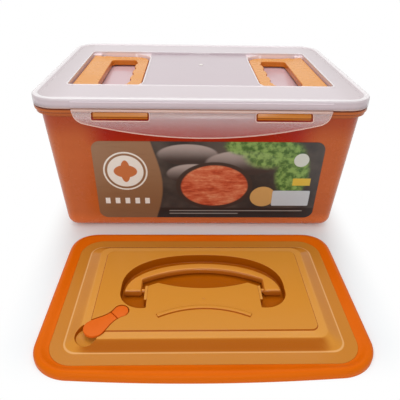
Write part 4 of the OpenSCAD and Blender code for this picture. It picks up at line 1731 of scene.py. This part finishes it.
@dataclass
class PressLid:
    """The press lid: a stepped plate with sunk pockets, its wing seal, bow handle and vent tab.

    Attributes:
        y: Place of its middle.
        flange_z: Height of the flange.
        top_z: Height of the plateau.
        face_z: Height of the raised face on it.
        bed_z: Height of the bow pocket's floor.
        thumb_z: Height of the floor below the vent tab's lifting end.
        wall: Thickness of the plate.
        bow_y: Place of the bow's pivot line from the plate's middle.
        bow_z: Height of the pivot line.
        vent: Place of the vent tab's fixed end from the plate's middle.
        vent_turn: Direction of the tab, in degrees.
        vent_l: Length between the centres of the tab's round ends.
        vent_disc: Radius of its fixed end.
        vent_bowl: Radius of its lifting end.
        foot_box: Half width, half depth and corner radius of the slope's foot.
        top_box: The same of the plateau.
        face_box: The same of the raised face.
    """

    y: float = -210.0
    flange_z: float = 5.5
    top_z: float = 12.0
    face_z: float = 13.0
    bed_z: float = 4.3
    thumb_z: float = 7.0
    wall: float = 2.1
    bow_y: float = -1.3
    bow_z: float = 8.4
    vent: tuple[float, float] = (-67.0, -28.5)
    vent_turn: float = 223.7
    vent_l: float = 25.0
    vent_disc: float = 6.0
    vent_bowl: float = 8.4
    foot_box: tuple[float, float, float] = (107.5, 64.5, 11.0)
    top_box: tuple[float, float, float] = (95.0, 55.0, 8.0)
    face_box: tuple[float, float, float] = (89.0, 49.0, 6.0)

    @staticmethod
    def box_gap(x: np.ndarray, y: np.ndarray, hx: float, hy: float, r: float) -> np.ndarray:
        """Distance outside a rectangle of half sizes hx and hy with corner radius r, negative inside.

        Args:
            x: Places across.
            y: Places from front to back.
            hx: Half the width.
            hy: Half the depth.
            r: Radius of the corners.

        Returns:
            The distances.
        """
        qx, qy = np.abs(x) - hx + r, np.abs(y) - hy + r
        outside = np.hypot(np.maximum(qx, 0.0), np.maximum(qy, 0.0))
        return outside + np.minimum(np.maximum(qx, qy), 0.0) - r

    def base(self, x: np.ndarray, y: np.ndarray) -> np.ndarray:
        """Height of the plate's top before its pockets are taken out.

        The share of the slope that lies below a point is its distance inside the slope's foot over
        the sum of that and its distance outside the plateau. A soft ramp of this share climbs from the
        flange to the plateau, and a smooth step at the face's edge adds the rest.

        Args:
            x: Places across.
            y: Places from front to back, from the plate's middle.

        Returns:
            The heights.
        """
        inside = -self.box_gap(x, y, *self.foot_box)
        share = inside / (inside + self.box_gap(x, y, *self.top_box))
        soft = 0.045
        up = soft * (np.logaddexp(0.0, share / soft) - np.logaddexp(0.0, (share - 1.0) / soft))
        face = ease(-self.box_gap(x, y, *self.face_box), -0.5, 0.4)
        return self.flange_z + (self.top_z - self.flange_z) * up + (self.face_z - self.top_z) * face

    def stations(self) -> list[np.ndarray]:
        """Rings around the plate, from its edge inwards, close together where the surface bends.

        Returns:
            The rings.
        """
        loop = Loop.walk(np.linspace(-1, 1, 41), np.linspace(-1, 1, 25), 14)
        foot, top, face = (np.array(box) for box in (self.foot_box, self.top_box, self.face_box))
        sizes = [np.array([117.5, 74.5, 20.0])]
        bends = np.array([-0.16, -0.1, -0.06, -0.03, 0.0, 0.03, 0.06, 0.1, 0.18, 0.34, 0.5, 0.66])
        sizes += [foot + (top - foot) * t for t in np.concatenate([bends, 1.0 - bends[8::-1]])]
        sizes += [face + out for out in (0.6, 0.35, 0.1, -0.15, -0.4)]
        return [loop.ring(hx - r, hy - r, r) for hx, hy, r in sizes]

    def pocket_line(self) -> np.ndarray:
        """Outline of the bow's pocket and the crescent in front of it, against the clock.

        Returns:
            Points of the outline.
        """
        side, lobe_x, lobe_y, lobe_r = 47.6, 51.3, -5.2, 18.8
        start = -90.0 - math.degrees(math.asin((lobe_x - side) / lobe_r))
        lobe = arc(lobe_x, lobe_y, lobe_r, start, 0.0, 24)
        half, rise, power, low = 70.1, 42.1, 2.3, 2.0
        top = half_oval(half, rise, power, np.linspace(0.0, 180.0, 121)) + [0.0, low]
        island_r, island_y, hollow_r, hollow_y = 97.0, -82.7, 115.0, 114.2
        x = np.linspace(-side, side, 161)
        island = island_y + np.sqrt(island_r**2 - x**2)
        crescent = hollow_y - np.sqrt(hollow_r**2 - x**2)
        inner = np.stack([x, np.minimum(island, crescent)], -1)
        line = np.vstack([lobe, top, lobe[::-1] * [-1.0, 1.0], inner])
        return spaced(line, 460, True) + [0.0, self.bow_y]

    def spoon_half(self, s: np.ndarray) -> np.ndarray:
        """Half width of the vent tab at places along it: a disc, a waist and a wider bowl.

        Args:
            s: Places along the tab.

        Returns:
            The half widths.
        """
        small = np.sqrt(np.maximum(self.vent_disc**2 - s**2, 0.0))
        bowl = np.sqrt(np.maximum(self.vent_bowl**2 - (s - self.vent_l) ** 2, 0.0))
        places, halves = [3.0, 5.0, 7.5, 10.5, 14.0, 18.0, 22.5], [5.2, 4.62, 4.38, 4.55, 5.3, 6.75, 8.02]
        waist = np.interp(s, places, halves)
        return np.where(s < places[0], small, np.where(s > places[-1], bowl, waist))

    def vent_frame(self) -> tuple[np.ndarray, np.ndarray]:
        """Directions along and across the vent tab."""
        a = math.radians(self.vent_turn)
        return np.array([math.cos(a), math.sin(a)]), np.array([-math.sin(a), math.cos(a)])

    def vent_line(self) -> np.ndarray:
        """Outline of the vent tab's bed with the thumb hollow at its end, against the clock.

        Returns:
            Points of the outline.
        """
        gap, thumb_s, thumb_r = 0.5, 32.0, 9.0
        first, last = -self.vent_disc, self.vent_l + self.vent_bowl
        t = 0.5 - 0.5 * np.cos(np.linspace(0.0, np.pi, 200))
        s = first - gap + t * (thumb_s + thumb_r - first + gap)
        along = (s - first + gap) / (last - first + gap) * (last - first) + first
        around = gap * np.sin(np.pi * np.clip(t * 1.17, 0, 1)) ** 0.2
        spoon = np.where(s < last + gap, self.spoon_half(np.clip(along, first, last)) + around, 0.0)
        thumb = np.sqrt(np.maximum(thumb_r**2 - (s - thumb_s) ** 2, 0.0))
        half = np.maximum(spoon, thumb)
        half[[0, -1]] = 0.0
        ahead, side = self.vent_frame()
        left = np.array(self.vent) + s[:, None] * ahead + half[:, None] * side
        right = np.array(self.vent) + s[:, None] * ahead - half[:, None] * side
        return spaced(np.vstack([right, left[::-1][1:-1]]), 240, True)

    def well(self, line: np.ndarray, floor: float) -> tuple[np.ndarray, Patch]:
        """Sinks a pocket into the plate.

        The upper edge is a quarter circle outside the outline, the wall goes straight down, and a
        second quarter circle runs out into the floor. A wall of the plate's thickness closes it below.

        Args:
            line: Outline of the pocket, against the clock.
            floor: Height of its floor.

        Returns:
            The rim to cut out of the plate, and the pocket's surface.
        """
        out = outward(line)
        lip, foot = 0.55, 1.0
        rim = line + out * lip
        high = self.base(rim[:, 0], rim[:, 1])
        low = np.minimum(floor, high - 0.05)
        bend = [(1 - math.sin(a), 1 - math.cos(a)) for a in np.radians(np.linspace(0.0, 90.0, 5))]
        rows = [raised(line + out * lip * a, np.maximum(high - lip * b, low)) for a, b in bend]
        rows += [raised(line - out * foot * b, np.minimum(low + foot * a, high)) for a, b in bend]
        behind = line + out * (self.wall - 0.1)
        back = [raised(behind, high - 1.0), raised(behind, low - self.wall)]
        inside = grid(np.stack(rows), wrap_v=True, flip=True, caps=(False, True))
        return rim, join([inside, grid(np.stack(back), wrap_v=True, caps=(False, True))])

    def plate(self) -> Patch:
        """The plate: its stepped top with two pockets, its underside, pin posts, curved rib and gate mark.

        Returns:
            The plate in its place.
        """
        bow_rim, bow_well = self.well(self.pocket_line(), self.bed_z)
        vent_rim, vent_well = self.well(self.vent_line(), self.thumb_z)
        rings = self.stations()
        plan, faces = fill(rings + [bow_rim, vent_rim])
        centre = plan[faces].mean(1)
        faces = faces[~(within(centre, bow_rim) | within(centre, vent_rim))]
        top = raised(plan, self.base(plan[:, 0], plan[:, 1]))
        sheet = Patch(top, np.empty((0, 4), int), list(faces))
        under = Patch(top - [0.0, 0.0, self.wall], np.empty((0, 4), int), list(faces[:, ::-1]))
        edge = np.stack([raised(rings[0], self.flange_z - self.wall), raised(rings[0], self.flange_z)])
        bed = self.spoon(-6.4, 22.6, self.thumb_z - 0.1, 10.4, 0.4)
        front, back, foot, head, thick = self.bow_y - 13.6, self.bow_y + 3.4, self.bed_z - 0.3, 11.8, 2.9
        posts = [soft_box((x, front, foot), (x + thick, back, head), 0.6) for x in (47.2, -50.1)]
        rib_half, rib_r, rib_wide, rib_y = 37.5, 80.0, 2.1, -105.0
        spread = math.degrees(math.asin(rib_half / rib_r))
        edges = (rib_r + rib_wide, rib_r - rib_wide)
        rib = [arc(0.0, rib_y, r, 90.0 - spread, 90.0 + spread, 60) for r in edges]
        smile = bar(rib[0], rib[1], self.face_z - 1.0, self.face_z + 1.2, 1.3)
        gate = post(0.3, -14.8, self.face_z - 0.3, self.face_z + 0.3, 1.1)
        parts = [sheet, under, grid(edge, wrap_v=True), bow_well, vent_well, bed, smile, gate]
        return join(parts + posts).moved(0.0, self.y, 0.0)

    def seal(self) -> Patch:
        """The wing seal: a dished top, a rounded shoulder and a thin lip that turns down to the floor.

        Returns:
            The seal in its place.
        """
        half_x, half_y, r, h = 129.5, 86.5, 32.0, self.flange_z
        root, step, lip = r - 18.0, r - 12.0, r - 3.2
        section = soften(
            [(root, 3.35), (step, 3.4), (step, h + 0.1), (r - 9.5, h + 0.5), (r - 4.6, 8.0), (r, 5.6),
             (r, 0.0), (lip, 0.0), (lip, 1.6), (root, 1.6), (root, 3.35)],
            [0, 0.3, 0.5, 1.5, 2.2, 2.5, 0.7, 0.7, 0.6, 0.3, 0], 6)[:-1]
        loop = Loop.walk(np.linspace(-1, 1, 21), np.linspace(-1, 1, 13), 20)
        outer = np.clip((section[:, 0] - step) / (r - step), 0.0, 1.0)
        front_bow, back_corner = -3.2 * (loop.sx * loop.ny) ** 2, 16.0 * (loop.nx * loop.ny) ** 2
        bowed = np.where(loop.ny < 0, front_bow, back_corner)
        points = loop.carry(half_x - r, half_y - r, section, outer[:, None] * bowed)
        return grid(points, wrap_u=True, wrap_v=True).moved(0.0, self.y, 0.0)

    def bow(self) -> Patch:
        """The bow handle: a bar between a half oval and a flatter arc that ends in two blunt feet.

        Returns:
            The handle in its place.
        """
        toe, toe_r, half, rise, inner_x, inner_r = 3.1, 1.5, 68.0, 37.6, 52.5, 109.5
        meet, power, count = 12.1, 2.05, 91
        run = np.array([0.03, 0.12, 0.3, 0.6, 1.0, 1.5, 2.5, 4.5, 7.0, 9.5, 12.0, 14.0])
        y = run - toe

        def oval_x(v: np.ndarray) -> np.ndarray:
            """Reach of the half oval at places behind the pivot line."""
            return half * np.maximum(1 - ((v + toe) / rise) ** power, 0.0) ** (1 / power)

        foot_out = np.stack([-oval_x(y), y], -1)
        foot_in = np.stack([np.full_like(y, -inner_x), y], -1)
        whole = half_oval(half, rise, power, np.linspace(180.0, 0.0, 400)) - [0.0, toe]
        outer_arc = spaced(whole[whole[:, 1] > meet], count, False)
        spread = math.degrees(math.asin(inner_x / inner_r))
        inner_arc = arc(0.0, 25.5 - inner_r, inner_r, 90.0 + spread, 90.0 - spread, count - 1)
        mirror = np.array([-1.0, 1.0])
        outer = np.vstack([foot_out, outer_arc, foot_out[::-1] * mirror])
        inner = np.vstack([foot_in, inner_arc, foot_in[::-1] * mirror])
        near = np.concatenate([run, np.full(count, rise), run[::-1]])
        tall = toe - toe_r + np.sqrt(np.maximum(toe_r**2 - np.maximum(toe_r - near, 0.0) ** 2, 0.0))
        pins = [rod((s * 48.0, 0.0, 0.0), (s * 58.0, 0.0, 0.0), 2.0) for s in (-1, 1)]
        return join([bar(outer, inner, -tall, tall, 2.3)] + pins).moved(0.0, self.y + self.bow_y, self.bow_z)

    def spoon(self, start: float, end: float, low: float, high: float, grow: float = 0.0) -> Patch:
        """Part of the vent tab between two places along it, about the plate's middle.

        Args:
            start: Where it begins, from the fixed end.
            end: Where it ends.
            low: Height of the underside.
            high: Height of the top.
            grow: How much wider it is on each side.

        Returns:
            The closed piece in its place.
        """
        s = start + (end - start) * (0.5 - 0.5 * np.cos(np.linspace(0.0, np.pi, 72)))
        half = np.maximum(self.spoon_half(s), 0.02) + grow
        ahead, side = self.vent_frame()
        middle = np.array(self.vent) + s[:, None] * ahead
        return bar(middle + half[:, None] * side, middle - half[:, None] * side, low, high, 0.5)

    def build(self, shop: Workshop) -> None:
        """Makes the plate, seal, bow handle and both parts of the vent tab.

        Args:
            shop: The workshop that makes the pieces.
        """
        look, body = shop.finishes, "press_lid_body"
        plastic, silicone = "plate_plastic", "vent_silicone"
        shop.piece(
            "press_plate_shell", self.plate(), look.plate, body, plastic, ["press_plate"], closed=False)
        shop.piece("wing_seal", self.seal(), look.seal, body, "seal_silicone", ["press_seal"])
        shop.piece("bow_handle", self.bow(), look.bow, "press_handle_body", plastic, ["press_handle"])
        ahead, side = self.vent_frame()
        bend_s, plug_s = 7.5, 17.0
        foot, knuckle, plug = (np.array(self.vent) + s * ahead for s in (0.0, bend_s, plug_s))
        fixed = [self.spoon(-self.vent_disc, self.vent_disc, 10.4, 12.8), post(*foot, 7.1, 10.6, 2.4)]
        root = join(fixed).moved(0.0, self.y, 0.0)
        shop.piece("vent_foot", root, look.vent, body, silicone, ["vent_anchor"])
        axle, pin = np.append(knuckle, 11.8), np.append(side, 0.0) * 4.3
        lift = [
            self.spoon(bend_s, self.vent_l + self.vent_bowl, 10.6, 13.0),
            rod(axle - pin, axle + pin, 1.2),
            post(*plug, 8.5, 11.0, 3.0),
        ]
        spoon = join(lift).moved(0.0, self.y, 0.0)
        shop.piece("vent_spoon", spoon, look.vent, "vent_tab_body", silicone, ["vent_tab"])


@dataclass(frozen=True)
class Studio:
    """Floor, soft light and camera.

    Attributes:
        eye: Place of the camera.
        pitch: How far it looks down, in degrees.
        yaw: Its turn about the upright axis, in radians.
        roll: Its turn about its own axis, in radians.
        focal: Focal length in pixels of a frame 400 wide.
        ambient: Strength of the light from all around.
    """

    eye: tuple[float, float, float] = (-13.262, -488.652, 269.495)
    pitch: float = 31.266
    yaw: float = -0.0329
    roll: float = 0.0199
    focal: float = 429.1
    ambient: float = 0.42

    @staticmethod
    def stand(name: str, data: bpy.types.ID, axes: np.ndarray, place: Sequence[float]) -> bpy.types.Object:
        """Puts a camera or a lamp into the scene.

        Args:
            name: Its name.
            data: What it is.
            axes: Its right, up and back directions, as columns.
            place: Where it stands, in metres.

        Returns:
            The object.
        """
        matrix = np.eye(4)
        matrix[:3, :3], matrix[:3, 3] = axes, place
        thing = bpy.data.objects.new(name, data)
        thing.matrix_world = Matrix(matrix.tolist())
        bpy.context.scene.collection.objects.link(thing)
        return thing

    def camera(self) -> None:
        """Sets the camera from its angles: forward, right and up after the roll."""
        p = math.radians(self.pitch)
        ahead = np.array([-math.sin(self.yaw) * math.cos(p), math.cos(self.yaw) * math.cos(p), -math.sin(p)])
        right = np.array([math.cos(self.yaw), math.sin(self.yaw), 0.0])
        up = np.cross(right, ahead)
        c, s = math.cos(self.roll), math.sin(self.roll)
        axes = np.column_stack([c * right + s * up, -s * right + c * up, -ahead])
        sensor, frame_width = 36.0, 400.0
        lens = bpy.data.cameras.new("photo_camera")
        lens.sensor_width, lens.lens = sensor, sensor * self.focal / frame_width
        lens.clip_start, lens.clip_end = 0.01, 50.0
        bpy.context.scene.camera = self.stand("photo_camera", lens, axes, np.array(self.eye) * MM)

    def softbox(
        self, name: str, place: Sequence[float], aim: Sequence[float], size: float, power: float
    ) -> None:
        """Adds a square soft light that faces a point.

        Args:
            name: Name of the light.
            place: Where it hangs, in metres.
            aim: The point that it faces, in metres.
            size: Length of a side, in metres.
            power: Power in watts.
        """
        light = bpy.data.lights.new(name, "AREA")
        light.size, light.energy = size, power
        back = np.asarray(place, float) - np.asarray(aim, float)
        back /= np.linalg.norm(back)
        side = np.cross([0.0, 1.0, 0.0] if abs(back[2]) > 0.9 else [0.0, 0.0, 1.0], back)
        side /= np.linalg.norm(side)
        self.stand(name, light, np.column_stack([side, np.cross(back, side), back]), place)

    def world(self) -> None:
        """Lights from all around, and shows white behind the object."""
        g = Graph(bpy.data.worlds.new("studio"))
        bpy.context.scene.world = g.owner
        soft = g.out("ShaderNodeBackground", inputs={"Color": WHITE, "Strength": self.ambient})
        white = g.out("ShaderNodeBackground", inputs={"Color": WHITE})
        mixed = g.out("ShaderNodeMixShader", inputs={0: g.seen(), 1: soft, 2: white})
        g.add("ShaderNodeOutputWorld", inputs={"Surface": mixed})

    def floor(self) -> None:
        """Lays a pale floor that keeps the object's shadow and shows white further out."""
        g = Graph(bpy.data.materials.new("floor_white"))
        matt = g.out("ShaderNodeBsdfDiffuse", inputs={"Color": (0.91, 0.95, 0.97, 1.0)})
        glow = g.out("ShaderNodeEmission", inputs={"Color": WHITE, "Strength": 1.0})
        half_x, half_y, back_y, fade = 0.125, 0.17, 0.085, 0.045
        x, y = (abs(g.place("X")) - half_x).most(0.0), (abs(g.place("Y") + back_y) - half_y).most(0.0)
        far = (x * x + y * y).power(0.5).ease(0.0, fade)
        mixed = g.out("ShaderNodeMixShader", inputs={0: g.seen() * far, 1: matt, 2: glow})
        g.add("ShaderNodeOutputMaterial", inputs={"Surface": mixed})
        reach, height = 3.0, -0.0002
        step = np.linspace(-reach, reach, 7)
        across, along = np.meshgrid(step, step)
        patch = grid(np.stack([across, along, np.full_like(across, height)], -1))
        mesh = bpy.data.meshes.new("floor")
        mesh.from_pydata(patch.points.tolist(), [], patch.quads.tolist())
        floor = bpy.data.objects.new("floor", mesh)
        floor.data.materials.append(g.owner)
        bpy.context.scene.collection.objects.link(floor)

    def build(self) -> None:
        """Sets the camera, the floor and the lights."""
        bpy.context.scene.view_settings.view_transform = "Standard"
        self.camera()
        self.world()
        self.floor()
        self.softbox("top_light", (-0.05, 0.15, 1.3), (0.0, -0.1, 0.05), 1.2, 9.0)
        self.softbox("front_light", (-0.35, -1.3, 0.75), (0.0, -0.1, 0.08), 0.9, 4.5)
        self.softbox("edge_light", (0.1, -1.2, 0.95), (0.0, -0.12, 0.08), 0.25, 2.2)


def corners(box: Sequence[Any]) -> list[list[float]]:
    """Returns a box's two corners as plain numbers."""
    return [[float(v) for v in corner] for corner in box]


def main() -> None:
    """Builds the studio and the pieces in order."""
    logging.basicConfig(level=logging.INFO, format="%(name)s %(message)s")
    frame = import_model()
    Studio().build()
    shop = Workshop(frame, Finishes())
    Tub().build(shop)
    Lid().build(shop)
    for turn in Turn:
        Flap(turn).build(shop)
        LidHandle(turn).build(shop)
    PressLid().build(shop)


if __name__ == "__main__":
    main()
